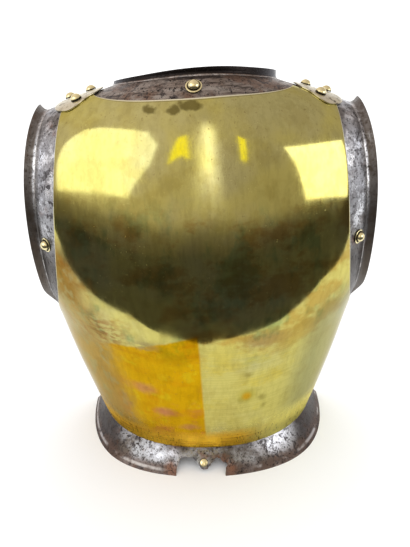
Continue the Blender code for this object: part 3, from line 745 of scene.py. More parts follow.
def holes_cutter(start=""):
    """One cutter for the holes of the rivets whose names start so."""
    pins = []
    for name, place, direction, *_ in RIVETS:
        if name.startswith(start):
            pin = added("pin", bpy.ops.mesh.primitive_cylinder_add,
                        vertices=HOLE_SIDES, radius=SHANK_RADIUS + GAP, depth=2 * HOLE_REACH)
            put(pin, upright(place, direction))
            pins.append(pin)
    bpy.ops.object.select_all(action="DESELECT")
    for pin in pins:
        pin.select_set(True)
    bpy.context.view_layer.objects.active = pins[0]
    bpy.ops.object.join()
    return pins[0]


print("each hole is", round(2000 * (SHANK_RADIUS + GAP), 1), "mm wide")

# %% [markdown]
# The steel gets its wall, and then every cut goes through both faces of it, as on the real
# sheet. The wall's inner face wears a second finish, so the piece needs two material slots
# before its wall is made. What reaches below the table is trimmed off level.

# %% Wall and cuts of the steel
SHEET_EDGE = 0.0003
for slot in ("outside", "inside"):
    steel_plate.data.materials.append(bpy.data.materials.new(slot))
give_wall(steel_plate, STEEL_THICK, -1.0, inner_slot=1)
table = (TABLE_SPAN, TABLE_SPAN, TABLE_DEPTH)
cut_away(steel_plate, block("table", table, (0, 0, -TABLE_DEPTH / 2)))
cut_away(steel_plate, notch_cutter())
for side in (-1, 1):
    rim = surface(side * inset_turn(0.0, ARM_LIP_LEAD), 0.0)
    slit = (2 * SLIT_DEPTH, 2 * SLIT_LENGTH, SLIT_WIDTH)
    cut_away(steel_plate, block("slit", slit, (rim[0], rim[1], WAIST_HEIGHT - SLIT_DROP)))
cut_away(steel_plate, holes_cutter())
soften(steel_plate, SHEET_EDGE)
settle(steel_plate, "steel_plate")

# %% [markdown]
# The brass cover. It is a thinner sheet, laid over the steel and pressed down all over, so it
# follows the same curves a hair's breadth above them. Its mesh is much finer than the steel's,
# because it is a mirror, and a mirror shows every corner of a coarse mesh.

# %% The brass cover
BRASS_COLUMNS = 200
BRASS_ROWS = 150
BRASS_EDGE = 0.00015
lowest = BRASS_WAIST_CLEARANCE / (SHOULDER_HEIGHT - WAIST_HEIGHT)
shares = np.linspace(-1, 1, BRASS_COLUMNS + 1)
tops = top_rungs(shares, BRASS_BACK_RUNG, BRASS_NECK)
places = np.zeros((BRASS_COLUMNS + 1, BRASS_ROWS + 1, 3))
for i, (share, top) in enumerate(zip(shares, tops)):
    rungs = np.linspace(lowest, top, BRASS_ROWS + 1)
    places[i] = surface(share * brass_turn(rungs), rungs, GAP)
brass_cover, at, within = blank("brass_cover_sheet", BRASS_COLUMNS, BRASS_ROWS)
form(brass_cover, at, places)
rim = (at[:, 0] == 0) | (at[:, 0] == BRASS_COLUMNS) | (at[:, 1] == BRASS_ROWS)
edge = brass_cover.data.attributes.new("edge", "FLOAT", "POINT")
edge.data.foreach_set("value", rim.astype(np.float32))
give_wall(brass_cover, BRASS_THICK, 1.0)
cut_away(brass_cover, holes_cutter("shoulder"))
soften(brass_cover, BRASS_EDGE)
settle(brass_cover, "brass_cover")

# %% [markdown]
# The strap plates. They are thin lobed castings, bent to lie on the shoulders. The outline is
# given as a reach from the middle at a few bearings. A blank whose columns are bearings and
# whose rows are rings makes it: the innermost row closes to one point in the middle.

# %% The strap plates
# Bearing in degrees, and reach as a share of the plate's half width or half length.
STRAP_OUTLINE = (
    (0, 0.98), (20, 1.02), (40, 1.12), (52, 1.16), (64, 1.06), (78, 0.98), (90, 1.00),
    (103, 0.94), (116, 0.98), (128, 1.04), (142, 1.02), (160, 0.96), (180, 0.98),
    (200, 0.96), (216, 0.93), (230, 0.86), (244, 0.90), (258, 0.98), (272, 1.04),
    (286, 1.06), (300, 1.04), (314, 1.06), (328, 1.08), (344, 1.04), (360, 0.98),
)
STRAP_BEARINGS = 96
STRAP_RINGS = 16
STRAP_CROWN = 0.0004


def strap_plate(word, side):
    bearing = np.linspace(0, 360, STRAP_BEARINGS + 1)
    reach = spline(*zip(*STRAP_OUTLINE))(bearing)
    reach[-1] = reach[0]
    ring = np.linspace(0, 1, STRAP_RINGS + 1)
    share = reach[:, None] * ring[None, :]
    across = (share * np.cos(np.radians(bearing))[:, None]).ravel()
    along = (share * np.sin(np.radians(bearing))[:, None]).ravel()
    turn, rung = strap_spots(side, across, along)
    crown = STRAP_CROWN * (1 - np.tile(ring, STRAP_BEARINGS + 1) ** 4)
    spots = surface(turn, rung, STRAP_PLATE_LIFT)
    spots = spots + (crown - STRAP_CROWN / 2)[:, None] * outward(turn, rung)
    made, at, within = blank(f"shoulder_plate_{word}_casting", STRAP_BEARINGS, STRAP_RINGS)
    form(made, at, spots.reshape(STRAP_BEARINGS + 1, STRAP_RINGS + 1, 3))
    remove_cells(made, np.zeros(len(within), bool))
    if side > 0:
        open_mesh(made)
        bpy.ops.mesh.flip_normals()
        bpy.ops.object.mode_set(mode="OBJECT")
    give_wall(made, STRAP_PLATE_THICK, 1.0)
    cut_away(made, holes_cutter(f"shoulder_rivet_{word}"))
    soften(made, SHEET_EDGE)
    settle(made, f"shoulder_plate_{word}")
    return made


strap_plates = [strap_plate("left", -1), strap_plate("right", 1)]

# %% [markdown]
# The rivets. A rivet is turned: its half section is spun round its own axis, from the top of
# the head, over the washer's edge, down the shank and out to the tail that is clenched inside.
# One is modelled for each kind, and copies of it are stood on their places, each with its own
# mesh.

# %% The rivets
DOME_RADIUS = 0.0052
DOME_HEIGHT = 0.0047
WASHER_RADIUS = 0.0072
WASHER_THICK = 0.0008
WASHER_EDGE = 0.0005
WAIST_HEAD_RADIUS = 0.0048
WAIST_HEAD_FLAT_RADIUS = 0.0038
WAIST_HEAD_HEIGHT = 0.0012
WAIST_HEAD_EDGE = 0.0005
TAIL_RADIUS = 0.0034
TAIL_END_RADIUS = 0.0027
TAIL_THICK = 0.0012
TAIL_CLEARANCE = 0.0011
RIVET_STEPS = 40
DOME_STEPS = 13
DOME_GRIME_FROM = 60
SEAT_RING = 0.0004
SEAT_DROP = 0.0001
WASHER_BEVEL = 0.0005
RIVET_CORNERS = math.radians(40)


def head_section(kind):
    """Half section of a head: radius, height and how grimy it is there."""
    if kind == "worn":
        return [(0.0, WAIST_HEAD_HEIGHT, 0.1), (WAIST_HEAD_FLAT_RADIUS, WAIST_HEAD_HEIGHT, 0.3),
                (WAIST_HEAD_RADIUS, WAIST_HEAD_EDGE, 0.9), (WAIST_HEAD_RADIUS, 0.0, 1.0)]
    base = WASHER_THICK if kind == "washer" else 0.0
    section = []
    for degrees in np.linspace(0, 90, DOME_STEPS):
        angle = math.radians(degrees)
        grime = max(0.0, degrees - DOME_GRIME_FROM) / (90 - DOME_GRIME_FROM)
        section.append((DOME_RADIUS * math.sin(angle), base + DOME_HEIGHT * math.cos(angle), grime))
    if kind == "washer":
        section += [(DOME_RADIUS + SEAT_RING, WASHER_THICK - SEAT_DROP, 1.0),
                    (WASHER_RADIUS - WASHER_BEVEL, WASHER_THICK, 0.0),
                    (WASHER_RADIUS, WASHER_EDGE, 0.0), (WASHER_RADIUS, 0.0, 0.8)]
    else:
        section.append((DOME_RADIUS, 0.0, 1.0))
    return section


def turned_rivet(kind, up):
    """One rivet along Z, with its seat on the steel at zero."""
    section = [(radius, up + GAP + height, grime) for radius, height, grime in head_section(kind)]
    tail = -STEEL_THICK - TAIL_CLEARANCE
    section += [(SHANK_RADIUS, up + GAP, 1.0), (SHANK_RADIUS, tail, 1.0), (TAIL_RADIUS, tail, 1.0),
                (TAIL_END_RADIUS, tail - TAIL_THICK, 0.6), (0.0, tail - TAIL_THICK, 0.5)]
    made = added("rivet", bpy.ops.mesh.primitive_circle_add, vertices=len(section), radius=1.0)
    grime = made.data.attributes.new("grime", "FLOAT", "POINT")
    for k, (radius, height, dirt) in enumerate(section):
        made.data.vertices[k].co = (radius, 0.0, height)
        grime.data[k].value = dirt
    last = len(section) - 1
    for edge in made.data.edges:
        edge.select = set(edge.vertices) == {0, last}
    bpy.ops.object.mode_set(mode="EDIT")
    bpy.ops.mesh.select_mode(type="EDGE")
    bpy.ops.mesh.delete(type="EDGE")
    bpy.ops.mesh.select_all(action="SELECT")
    bpy.ops.mesh.spin(steps=RIVET_STEPS, angle=2 * math.pi, center=(0, 0, 0), axis=(0, 0, 1))
    bpy.ops.mesh.select_all(action="SELECT")
    bpy.ops.mesh.remove_doubles(threshold=MERGE_WITHIN)
    bpy.ops.mesh.normals_make_consistent(inside=False)
    bpy.ops.object.mode_set(mode="OBJECT")
    bpy.ops.object.shade_smooth_by_angle(angle=RIVET_CORNERS)
    return made


patterns = {}
rivets = []
for name, place, direction, up, kind in RIVETS:
    if kind not in patterns:
        patterns[kind] = turned_rivet(kind, up)
    rivet = patterns[kind].copy()
    rivet.data = patterns[kind].data.copy()
    rivet.name = rivet.data.name = name + "_turned"
    bpy.context.collection.objects.link(rivet)
    put(rivet, upright(place, direction))
    rivets.append(rivet)
    settle(rivet, name)
for pattern in patterns.values():
    bpy.data.objects.remove(pattern, do_unlink=True)

# %% [markdown]
# Helpers for finishes. Every finish is a stack of layers, as on the real metal: the clean
# metal first, then colour that age laid over it, each layer let through by a mask. Masks are
# read from Object coordinates, so they stay where they are on the plate from any side.

# %% Helpers for materials
SEED_MOVE = (1.0, 1.7, 2.3)
MILLIMETRE = 0.001


class Wiring:
    """A new material and short ways to put nodes into it."""

    def __init__(self, name):
        self.made = bpy.data.materials.new(name)
        self.made.use_nodes = True
        self.tree = self.made.node_tree
        self.place = self.node("ShaderNodeTexCoord").outputs["Object"]

    def node(self, kind, **settings):
        made = self.tree.nodes.new(kind)
        for key, value in settings.items():
            setattr(made, key, value)
        return made

    def feed(self, socket, value):
        if isinstance(value, bpy.types.NodeSocket):
            self.tree.links.new(value, socket)
        elif isinstance(value, tuple) and len(value) == 3 and socket.type == "RGBA":
            socket.default_value = (*value, 1.0)
        else:
            socket.default_value = value

    def sum(self, operation, first, second=0.0, third=0.0):
        made = self.node("ShaderNodeMath", operation=operation)
        for socket, value in zip(made.inputs, (first, second, third)):
            self.feed(socket, value)
        return made.outputs[0]

    def span(self, value, low, high, to_low=0.0, to_high=1.0):
        """A smooth step from one value to another."""
        made = self.node("ShaderNodeMapRange", interpolation_type="SMOOTHSTEP")
        settings = (value, low, high, to_low, to_high)
        for name, setting in zip(("Value", "From Min", "From Max", "To Min", "To Max"), settings):
            self.feed(made.inputs[name], setting)
        return made.outputs["Result"]

    def stretched(self, scale, place=None, move=(0, 0, 0)):
        made = self.node("ShaderNodeMapping")
        self.feed(made.inputs["Vector"], place or self.place)
        made.inputs["Scale"].default_value = scale
        made.inputs["Location"].default_value = move
        return made.outputs["Vector"]

    def noise(self, scale, detail=3.0, roughness=0.55, stretch=(1, 1, 1), seed=0.0):
        made = self.node("ShaderNodeTexNoise", noise_dimensions="3D")
        move = tuple(share * seed for share in SEED_MOVE)
        self.feed(made.inputs["Vector"], self.stretched(stretch, None, move))
        made.inputs["Scale"].default_value = scale
        made.inputs["Detail"].default_value = detail
        made.inputs["Roughness"].default_value = roughness
        return made.outputs["Fac"]

    def axis(self, place=None):
        made = self.node("ShaderNodeSeparateXYZ")
        self.feed(made.inputs[0], place or self.place)
        return made.outputs

    def wandering(self, scale, by, seed=0.0):
        """The place, pushed about by noise, for masks with ragged edges."""
        made = self.node("ShaderNodeTexNoise", noise_dimensions="3D")
        self.feed(made.inputs["Vector"], self.stretched((1, 1, 1), None, (seed, seed, seed)))
        made.inputs["Scale"].default_value = scale
        made.inputs["Detail"].default_value = 3.0
        centred = self.node("ShaderNodeVectorMath", operation="SUBTRACT")
        self.feed(centred.inputs[0], made.outputs["Color"])
        centred.inputs[1].default_value = (0.5, 0.5, 0.5)
        shift = self.node("ShaderNodeVectorMath", operation="MULTIPLY_ADD")
        self.feed(shift.inputs[0], centred.outputs[0])
        shift.inputs[1].default_value = (by, by, by)
        self.feed(shift.inputs[2], self.place)
        return shift.outputs[0]

    def spot(self, x, z, wide, high, soft=0.5, place=None):
        """An oval mark on the front: 1 in its middle and 0 outside it."""
        scale = (1 / wide, 0.0, 1 / high)
        moved = self.stretched(scale, place, (-x / wide, 0.0, -z / high))
        length = self.node("ShaderNodeVectorMath", operation="LENGTH")
        self.feed(length.inputs[0], moved)
        return self.span(length.outputs["Value"], 1.0, 1.0 - soft)

    def spots(self, rows, place):
        """Several ovals as one mask. A row holds x, z, width, height and softness."""
        total = self.spot(*rows[0], place)
        for row in rows[1:]:
            total = self.sum("MAXIMUM", total, self.spot(*row, place))
        return total

    def times(self, *masks):
        total = masks[0]
        for mask in masks[1:]:
            total = self.sum("MULTIPLY", total, mask)
        return total


class Finish(Wiring):
    """A Principled material that is built up layer by layer."""

    def __init__(self, name, colour, roughness, metallic=1.0):
        super().__init__(name)
        self.shader = self.tree.nodes["Principled BSDF"]
        self.shader.inputs["Metallic"].default_value = metallic
        self.colour = colour
        self.rough = roughness
        self.height = None

    def layer(self, mask, colour=None, rough=None, amount=1.0, how="MIX"):
        """Lays a colour, a roughness or both over what is there, through a mask."""
        if amount != 1.0:
            mask = self.times(mask, amount)
        if colour is not None:
            made = self.node("ShaderNodeMix", data_type="RGBA", blend_type=how)
            self.feed(made.inputs[0], mask)
            self.feed(made.inputs[6], self.colour)
            self.feed(made.inputs[7], colour)
            self.colour = made.outputs[2]
        if rough is not None:
            made = self.node("ShaderNodeMix", data_type="FLOAT")
            self.feed(made.inputs[0], mask)
            self.feed(made.inputs[2], self.rough)
            self.feed(made.inputs[3], rough)
            self.rough = made.outputs[0]

    def tell(self):
        print("finish", self.made.name, "has", len(self.tree.nodes), "nodes")

    def relief(self, height, depth):
        """Adds a height to the bump, in millimetres."""
        part = self.sum("MULTIPLY", height, depth)
        self.height = part if self.height is None else self.sum("ADD", self.height, part)

    def finish(self, *pieces, slot=0):
        self.feed(self.shader.inputs["Base Color"], self.colour)
        self.feed(self.shader.inputs["Roughness"], self.rough)
        if self.height is not None:
            bump = self.node("ShaderNodeBump")
            bump.inputs["Strength"].default_value = 1.0
            bump.inputs["Distance"].default_value = MILLIMETRE
            self.feed(bump.inputs["Height"], self.height)
            self.feed(self.shader.inputs["Normal"], bump.outputs["Normal"])
        for piece in pieces:
            while len(piece.data.materials) <= slot:
                piece.data.materials.append(None)
            piece.data.materials[slot] = self.made
        self.tell()


# %% [markdown]
# The brass. Polished brass is a pale yellow mirror, clouded by age and brushed in fine lines,
# upright on the whole and level lower down. The places below are read in two ways: plainly,
# and pushed about by noise, so that the edges of stains wander.

# %% Bare brass
CLEAN_BRASS = (0.600, 0.540, 0.158)
GRAZING_TINT = (0.80, 0.76, 0.58)
GREY_VEIL = (0.470, 0.450, 0.270)
YELLOW_VEIL = (0.640, 0.520, 0.075)
BRUSHED = (0.44, 0.39, 0.10)

brass = Finish("polished_brass", CLEAN_BRASS, 0.075)
brass.feed(brass.shader.inputs["Specular Tint"], GRAZING_TINT)
x, _, z = brass.axis()
ragged = brass.wandering(30.0, 0.012)
rx, _, rz = brass.axis(ragged)
torn = brass.wandering(110.0, 0.008, seed=3.0)
low = brass.span(z, 0.215, 0.150)

cloud = brass.noise(14.0, 4.0)
brass.layer(brass.span(cloud, 0.42, 0.66, 0.0, 0.45), GREY_VEIL, 0.10)
mottle = brass.noise(34.0, 5.0, 0.62, stretch=(0.6, 1, 1), seed=15.0)
brass.layer(brass.times(brass.span(mottle, 0.50, 0.66, 0.0, 0.6), low), YELLOW_VEIL)
upright_lines = brass.noise(1.0, 3.0, stretch=(700.0, 700.0, 9.0))
level_lines = brass.noise(1.0, 3.0, stretch=(9.0, 9.0, 900.0), seed=4.0)
brass.layer(brass.times(brass.span(level_lines, 0.42, 0.62), low), BRUSHED, amount=0.35)
brass.tell()

# %% [markdown]
# The patina. The lower left has turned a deep orange-yellow, with a sharp edge at the spine
# where something once covered the other half. It is laid on as one layer with a nearly
# straight edge, and then deepened to gold, red and pink, and rubbed through, by noise. An
# orange band runs along the waist.

# %% The patina
DEEP_PATINA = (0.600, 0.352, 0.004)
GOLD_PATINA = (0.600, 0.290, 0.004)
THIN_PATINA = (0.63, 0.46, 0.012)
RED_PATINA = (0.520, 0.205, 0.045)
PINK_PATINA = (0.520, 0.230, 0.120)
ORANGE_BAND = (0.560, 0.320, 0.030)
PINK_MARKS = (
    (-0.068, 0.120, 0.020, 0.012, 0.9),
    (-0.046, 0.088, 0.017, 0.010, 0.9),
    (-0.020, 0.064, 0.017, 0.008, 0.9),
)

slope = brass.sum("ADD", x, brass.sum("MULTIPLY", z, 0.03))
left_half = brass.span(slope, 0.0005, -0.0025)
top_edge = brass.span(brass.sum("SUBTRACT", rz, brass.sum("MULTIPLY", rx, 0.30)), 0.204, 0.200)
patina = brass.times(left_half, top_edge)
brass.layer(patina, DEEP_PATINA, 0.11)
gold = brass.noise(26.0, 5.0, 0.6, stretch=(0.8, 1, 1.6), seed=2.0)
gold = brass.times(patina, brass.span(gold, 0.46, 0.60, 0.0, 0.75))
brass.layer(brass.times(gold, brass.span(rz, 0.190, 0.100, 0.35, 1.0)), GOLD_PATINA, 0.14)
thin = brass.span(brass.noise(48.0, 5.0, 0.65, seed=23.0), 0.54, 0.64, 0.0, 0.6)
brass.layer(brass.times(patina, thin), THIN_PATINA)
red = brass.span(brass.noise(24.0, 5.0, 0.65, seed=16.0), 0.48, 0.64, 0.0, 0.75)
brass.layer(brass.times(patina, red, brass.span(z, 0.145, 0.085)), RED_PATINA)
brass.layer(brass.spots(PINK_MARKS, torn), PINK_PATINA, amount=0.65)
band = brass.times(brass.span(rz, 0.058, 0.038), brass.span(rx, 0.085, 0.030))
brass.layer(band, ORANGE_BAND, 0.13, amount=0.9)
brass.tell()

# %% [markdown]
# Stains and painted reflections. Dirt and damp gather where straps and hands can't rub: rusty
# streaks at the left edge, a grey bloom on the right, dark blots below the collar and olive
# spots on the lower right. The tan and brown at the left edge and under the left arm are a
# painted reflection of the paper's side, and the grey at the right edge is a painted reflection
# of the floor. Each is an oval or a strip with a torn edge.

# %% Stains and painted reflections on the brass
RUSTY_BROWN = (0.300, 0.110, 0.030)
DUN = (0.30, 0.24, 0.11)
LEFT_EDGE_REFLECTION_TAN = (0.350, 0.225, 0.070)
UNDERARM_REFLECTION_BROWN = (0.25, 0.130, 0.020)
LEFT_EDGE_REFLECTION_MOTTLE = (0.34, 0.31, 0.15)
RIGHT_EDGE_REFLECTION_GREY = (0.33, 0.33, 0.16)
GREY_BLOOM = (0.42, 0.36, 0.17)
COLLAR_BLOT = (0.150, 0.120, 0.030)
OLIVE = (0.300, 0.255, 0.055)
OLIVE_HALO = (0.44, 0.38, 0.06)
RUST_SPOT = (0.56, 0.33, 0.02)
FRECKLE = (0.25, 0.17, 0.05)
COLLAR_BLOTS = (
    (-0.042, 0.4035, 0.008, 0.0042, 0.5),
    (-0.022, 0.4030, 0.008, 0.0050, 0.5),
    (-0.008, 0.4065, 0.014, 0.0045, 0.5),
)
OLIVE_SPOTS = (
    (0.043, 0.143, 0.007, 0.006, 0.9),
    (0.060, 0.104, 0.006, 0.008, 0.9),
    (0.062, 0.090, 0.006, 0.006, 0.9),
    (0.036, 0.106, 0.006, 0.008, 0.9),
)

streak_noise = brass.noise(70.0, 5.0, 0.65, stretch=(0.7, 1, 2.4), seed=7.0)
streak = brass.times(brass.spot(-0.120, 0.190, 0.055, 0.040, 0.8, ragged),
                     brass.span(streak_noise, 0.46, 0.56))
brass.layer(streak, RUSTY_BROWN, 0.22, amount=0.9)
blob = brass.times(brass.spot(-0.062, 0.184, 0.022, 0.012, 0.9, torn),
                   brass.span(streak_noise, 0.40, 0.52))
brass.layer(blob, DUN, 0.16, amount=0.7)
taper = brass.sum("MULTIPLY_ADD", z, -0.18, 0.0414)
outer_left = brass.sum("SUBTRACT", rx, taper)
outer_right = brass.sum("ADD", rx, taper)
# Painted reflection: the tan at the left edge and the brown under the left arm, with a mottle over them,
# stand for the paper's side seen in the brass.
left_edge_painted_reflection = brass.times(brass.span(outer_left, -0.095, -0.135), brass.span(rz, 0.290, 0.250))
brass.layer(left_edge_painted_reflection, LEFT_EDGE_REFLECTION_TAN, 0.15, amount=0.85)
underarm_painted_reflection = brass.times(brass.span(rx, -0.118, -0.134), brass.span(rz, 0.205, 0.225),
                       brass.span(rz, 0.300, 0.270))
brass.layer(underarm_painted_reflection, UNDERARM_REFLECTION_BROWN, 0.15, amount=0.8)
edge_cloud = brass.span(brass.noise(60.0, 4.0, 0.65, seed=17.0), 0.48, 0.62)
brass.layer(brass.times(left_edge_painted_reflection, edge_cloud), LEFT_EDGE_REFLECTION_MOTTLE, 0.2, amount=0.6)
# Painted reflection: the grey at the right edge stands for the darker floor seen in the brass.
right_edge_painted_reflection = brass.times(brass.span(outer_right, 0.095, 0.140), brass.span(rz, 0.245, 0.195))
brass.layer(right_edge_painted_reflection, RIGHT_EDGE_REFLECTION_GREY, 0.14, amount=0.9)
grey_right = brass.times(brass.spot(0.062, 0.188, 0.036, 0.016, 0.9, torn), mottle)
brass.layer(grey_right, GREY_BLOOM, 0.14, amount=1.4)
brass.layer(brass.spots(COLLAR_BLOTS, torn), COLLAR_BLOT, 0.25, amount=0.85)
brass.layer(brass.spots(OLIVE_SPOTS, torn), OLIVE, 0.2, amount=0.65)
brass.layer(brass.spot(0.043, 0.112, 0.0150, 0.0150, 0.9), OLIVE_HALO)
brass.layer(brass.spot(0.0425, 0.111, 0.0075, 0.0085, 0.8), RUST_SPOT, 0.2)
freckles = brass.span(brass.noise(380.0, 2.0, seed=9.0), 0.66, 0.71)
brass.layer(brass.times(freckles, brass.span(cloud, 0.46, 0.56)), FRECKLE, 0.30, amount=0.4)
dull_specks = brass.span(brass.noise(520.0, 2.0, seed=19.0), 0.70, 0.74)
brass.layer(brass.times(dull_specks, brass.span(mottle, 0.44, 0.56)), None, 0.45)
brass.tell()

# %% [markdown]
# Wear and painted light. Just above the flange the brass is dull, because nobody polishes into
# the crease, and it is painted pale there: painted light from the paper below. Over all of it
# lie thin films: scuffs and soil. Across the middle of the back, brown and grey blotches are a
# painted reflection of the dim room. They darken what they cover, so they are multiplied in.
# The cut edge of the sheet carries a painted highlight, with a painted shadow line beside it.

# %% Wear and painted light on the brass
CREASE_ORANGE_PAINTED_LIGHT = (0.93, 0.58, 0.045)
CREASE_YELLOW_PAINTED_LIGHT = (0.95, 0.86, 0.24)
BAND_STREAK = (0.70, 0.34, 0.03)
SCUFF = (0.80, 0.79, 0.74)
BROWN_REFLECTION_BLOTCH = (0.78, 0.58, 0.40)
GREY_REFLECTION_BLOTCH = (0.62, 0.78, 0.86)
SOIL = (0.84, 0.80, 0.70)
EDGE_PAINTED_HIGHLIGHT = (0.93, 0.90, 0.72)
EDGE_PAINTED_SHADOW = (0.16, 0.13, 0.05)

brass.layer(brass.span(z, 0.080, 0.046), None, 0.42)
# Painted light: pale orange and yellow just above the crease stand for the paper lighting it from below.
crease = brass.span(z, 0.076, 0.046, 0.0, 0.95)
brass.layer(brass.times(crease, band), CREASE_ORANGE_PAINTED_LIGHT)
brass.layer(brass.times(crease, brass.span(rx, 0.030, 0.085)), CREASE_YELLOW_PAINTED_LIGHT)
band_streaks = brass.noise(1.0, 4.0, 0.6, stretch=(22.0, 22.0, 420.0), seed=24.0)
band_streaks = brass.times(band, brass.span(band_streaks, 0.50, 0.60, 0.0, 0.8))
brass.layer(band_streaks, BAND_STREAK, 0.30)
brass.layer(brass.span(upright_lines, 0.36, 0.70, 0.0, 0.6), None, 0.15)
haze = brass.noise(17.0, 6.0, 0.62, stretch=(1.5, 1, 0.8), seed=21.0)
haze = brass.times(brass.span(haze, 0.47, 0.62), brass.span(z, 0.36, 0.31), brass.span(z, 0.15, 0.19))
brass.layer(haze, None, 0.17)
scuffs = brass.noise(1.0, 5.0, 0.7, stretch=(160.0, 160.0, 30.0), seed=25.0)
brass.layer(brass.span(scuffs, 0.44, 0.62, 0.0, 0.5), SCUFF, how="MULTIPLY")
# Painted reflection: brown and grey blotches over the middle of the back stand for blotches in the dim
# room seen in the brass.
middle_of_back = brass.times(brass.span(z, 0.345, 0.300), brass.span(z, 0.145, 0.190))
brown_reflection_blotches = brass.noise(19.0, 6.0, 0.65, stretch=(1, 1, 1.6), seed=31.0)
brown_reflection_blotches = brass.times(middle_of_back, brass.span(brown_reflection_blotches, 0.47, 0.60, 0.0, 0.8))
brass.layer(brown_reflection_blotches, BROWN_REFLECTION_BLOTCH, how="MULTIPLY")
grey_reflection_blotches = brass.noise(15.0, 6.0, 0.65, stretch=(1.6, 1, 1), seed=32.0)
grey_reflection_blotches = brass.times(middle_of_back, brass.span(grey_reflection_blotches, 0.50, 0.62, 0.0, 0.9))
brass.layer(grey_reflection_blotches, GREY_REFLECTION_BLOTCH, how="MULTIPLY")
soil = brass.noise(44.0, 6.0, 0.65, seed=26.0)
brass.layer(brass.span(soil, 0.46, 0.62, 0.0, 0.6), SOIL, how="MULTIPLY")
# Painted highlight along the brass sheet's cut edge, and a painted shadow line just inside it.
at_edge = brass.node("ShaderNodeAttribute", attribute_name="edge").outputs["Fac"]
brass.layer(brass.span(at_edge, 0.45, 0.75, 0.0, 0.8), EDGE_PAINTED_HIGHLIGHT, 0.30)
beside_edge_painted_shadow = brass.times(brass.span(at_edge, 0.10, 0.30), brass.span(at_edge, 0.55, 0.40))
brass.layer(beside_edge_painted_shadow, EDGE_PAINTED_SHADOW, amount=0.5)
brass.relief(upright_lines, 0.0030)
brass.relief(brass.times(level_lines, low), 0.0040)
brass.finish(brass_cover)

# %% [markdown]
# The pale brass of the strap plates is duller and creamier, with dirt in its low places.

# %% The pale brass finish
PALE_BRASS = (0.72, 0.67, 0.50)
WORN_CASTING = (0.46, 0.41, 0.28)
CASTING_DIRT = (0.07, 0.055, 0.03)

pale = Finish("pale_brass_casting", PALE_BRASS, 0.30)
worn = pale.noise(230.0, 4.0)
pale.layer(pale.span(worn, 0.50, 0.64, 0.0, 0.75), WORN_CASTING, 0.42)
grime = pale.noise(140.0, 4.0, 0.65, seed=4.0)
pale.layer(pale.span(grime, 0.60, 0.68, 0.0, 0.9), CASTING_DIRT, 0.55)
pale.relief(worn, 0.06)
pale.relief(grime, -0.08)
pale.finish(*strap_plates)

# %% [markdown]
# The rivets are bright brass, with a ring of old polish and dirt where the head meets what it
# holds. The ring follows the turned section, so it was marked on the mesh as it was made.

# %% The rivet finish
BRIGHT_BRASS = (0.88, 0.78, 0.44)
DULL_SPECK = (0.55, 0.44, 0.20)
OLD_POLISH = (0.030, 0.022, 0.012)

bright = Finish("rivet_brass_turned", BRIGHT_BRASS, 0.20)
marked = bright.node("ShaderNodeAttribute", attribute_name="grime").outputs["Fac"]
speck = bright.noise(600.0, 3.0)
bright.layer(bright.span(speck, 0.60, 0.72, 0.0, 0.5), DULL_SPECK, 0.3)
ring = bright.sum("ADD", marked, bright.times(speck, 0.3))
bright.layer(bright.span(ring, 0.45, 0.95), OLD_POLISH, 0.6)
bright.finish(*rivets)

# %% [markdown]
# The steel. It was once bright. It is now grey with brown rust staining, and rubbed bright
# again where hands and cloths reach, on the arm borders and on the flange. On the arm borders a
# near-white painted reflection of the windows lies over the rubbed steel. Under the arms it is
# nearly black, and the ends of the flange are painted nearly black as painted shade.

# %% Bare and stained steel, with painted reflections
GREY_STEEL = (0.360, 0.362, 0.370)
BROWN = (0.095, 0.070, 0.046)
RUST = (0.230, 0.095, 0.045)
BRIGHT_STEEL = (0.68, 0.69, 0.74)
WINDOW_REFLECTION_WHITE = (0.95, 0.97, 1.0)
UNDERARM_BLACK = (0.048, 0.040, 0.036)
ARM_RUBBED_AND_REFLECTION_PATCHES = (
    (0.146, 0.345, 0.032, 0.080, 0.7),
    (-0.146, 0.342, 0.028, 0.072, 0.7),
)
FLANGE_PATCHES = (
    (-0.052, 0.016, 0.030, 0.012, 0.9),
    (-0.125, 0.030, 0.012, 0.016, 0.9),
    (0.078, 0.018, 0.034, 0.013, 0.9),
)

steel = Finish("pitted_steel", GREY_STEEL, 0.34)
x, _, z = steel.axis()
ragged = steel.wandering(60.0, 0.010)
rx, _, rz = steel.axis(ragged)
flange = steel.span(z, 0.0245, 0.0225)
blotch = steel.noise(38.0, 5.0, 0.6)
steel.layer(steel.span(blotch, 0.44, 0.60, 0.0, 0.85), BROWN, 0.42)
rusty = steel.span(steel.noise(55.0, 4.0, seed=3.0), 0.56, 0.70, 0.0, 0.7)
steel.layer(rusty, RUST, 0.55)
rubbed = steel.span(steel.noise(70.0, 6.0, 0.7, seed=6.0), 0.46, 0.58)
patches = steel.spots(ARM_RUBBED_AND_REFLECTION_PATCHES + FLANGE_PATCHES, ragged)
steel.layer(steel.times(patches, steel.span(rubbed, 0.0, 1.0, 0.45, 1.0)), BRIGHT_STEEL, 0.30)
# Painted reflection: near-white on the arm borders stands for the windows seen in the steel.
steel.layer(steel.times(steel.spots(ARM_RUBBED_AND_REFLECTION_PATCHES, ragged), rubbed), WINDOW_REFLECTION_WHITE, 0.24)
arm_low = steel.times(steel.span(rz, 0.295, 0.248), steel.span(z, 0.060, 0.090))
steel.layer(arm_low, UNDERARM_BLACK, 0.38, amount=0.88)
steel.tell()

# %% [markdown]
# The collar and the flange. The collar is brown, scratched in level streaks by the polishing
# cloth. The flange is rusty along its rim and round the eaten notch, and above the notch it is
# corroded in coarse grains.

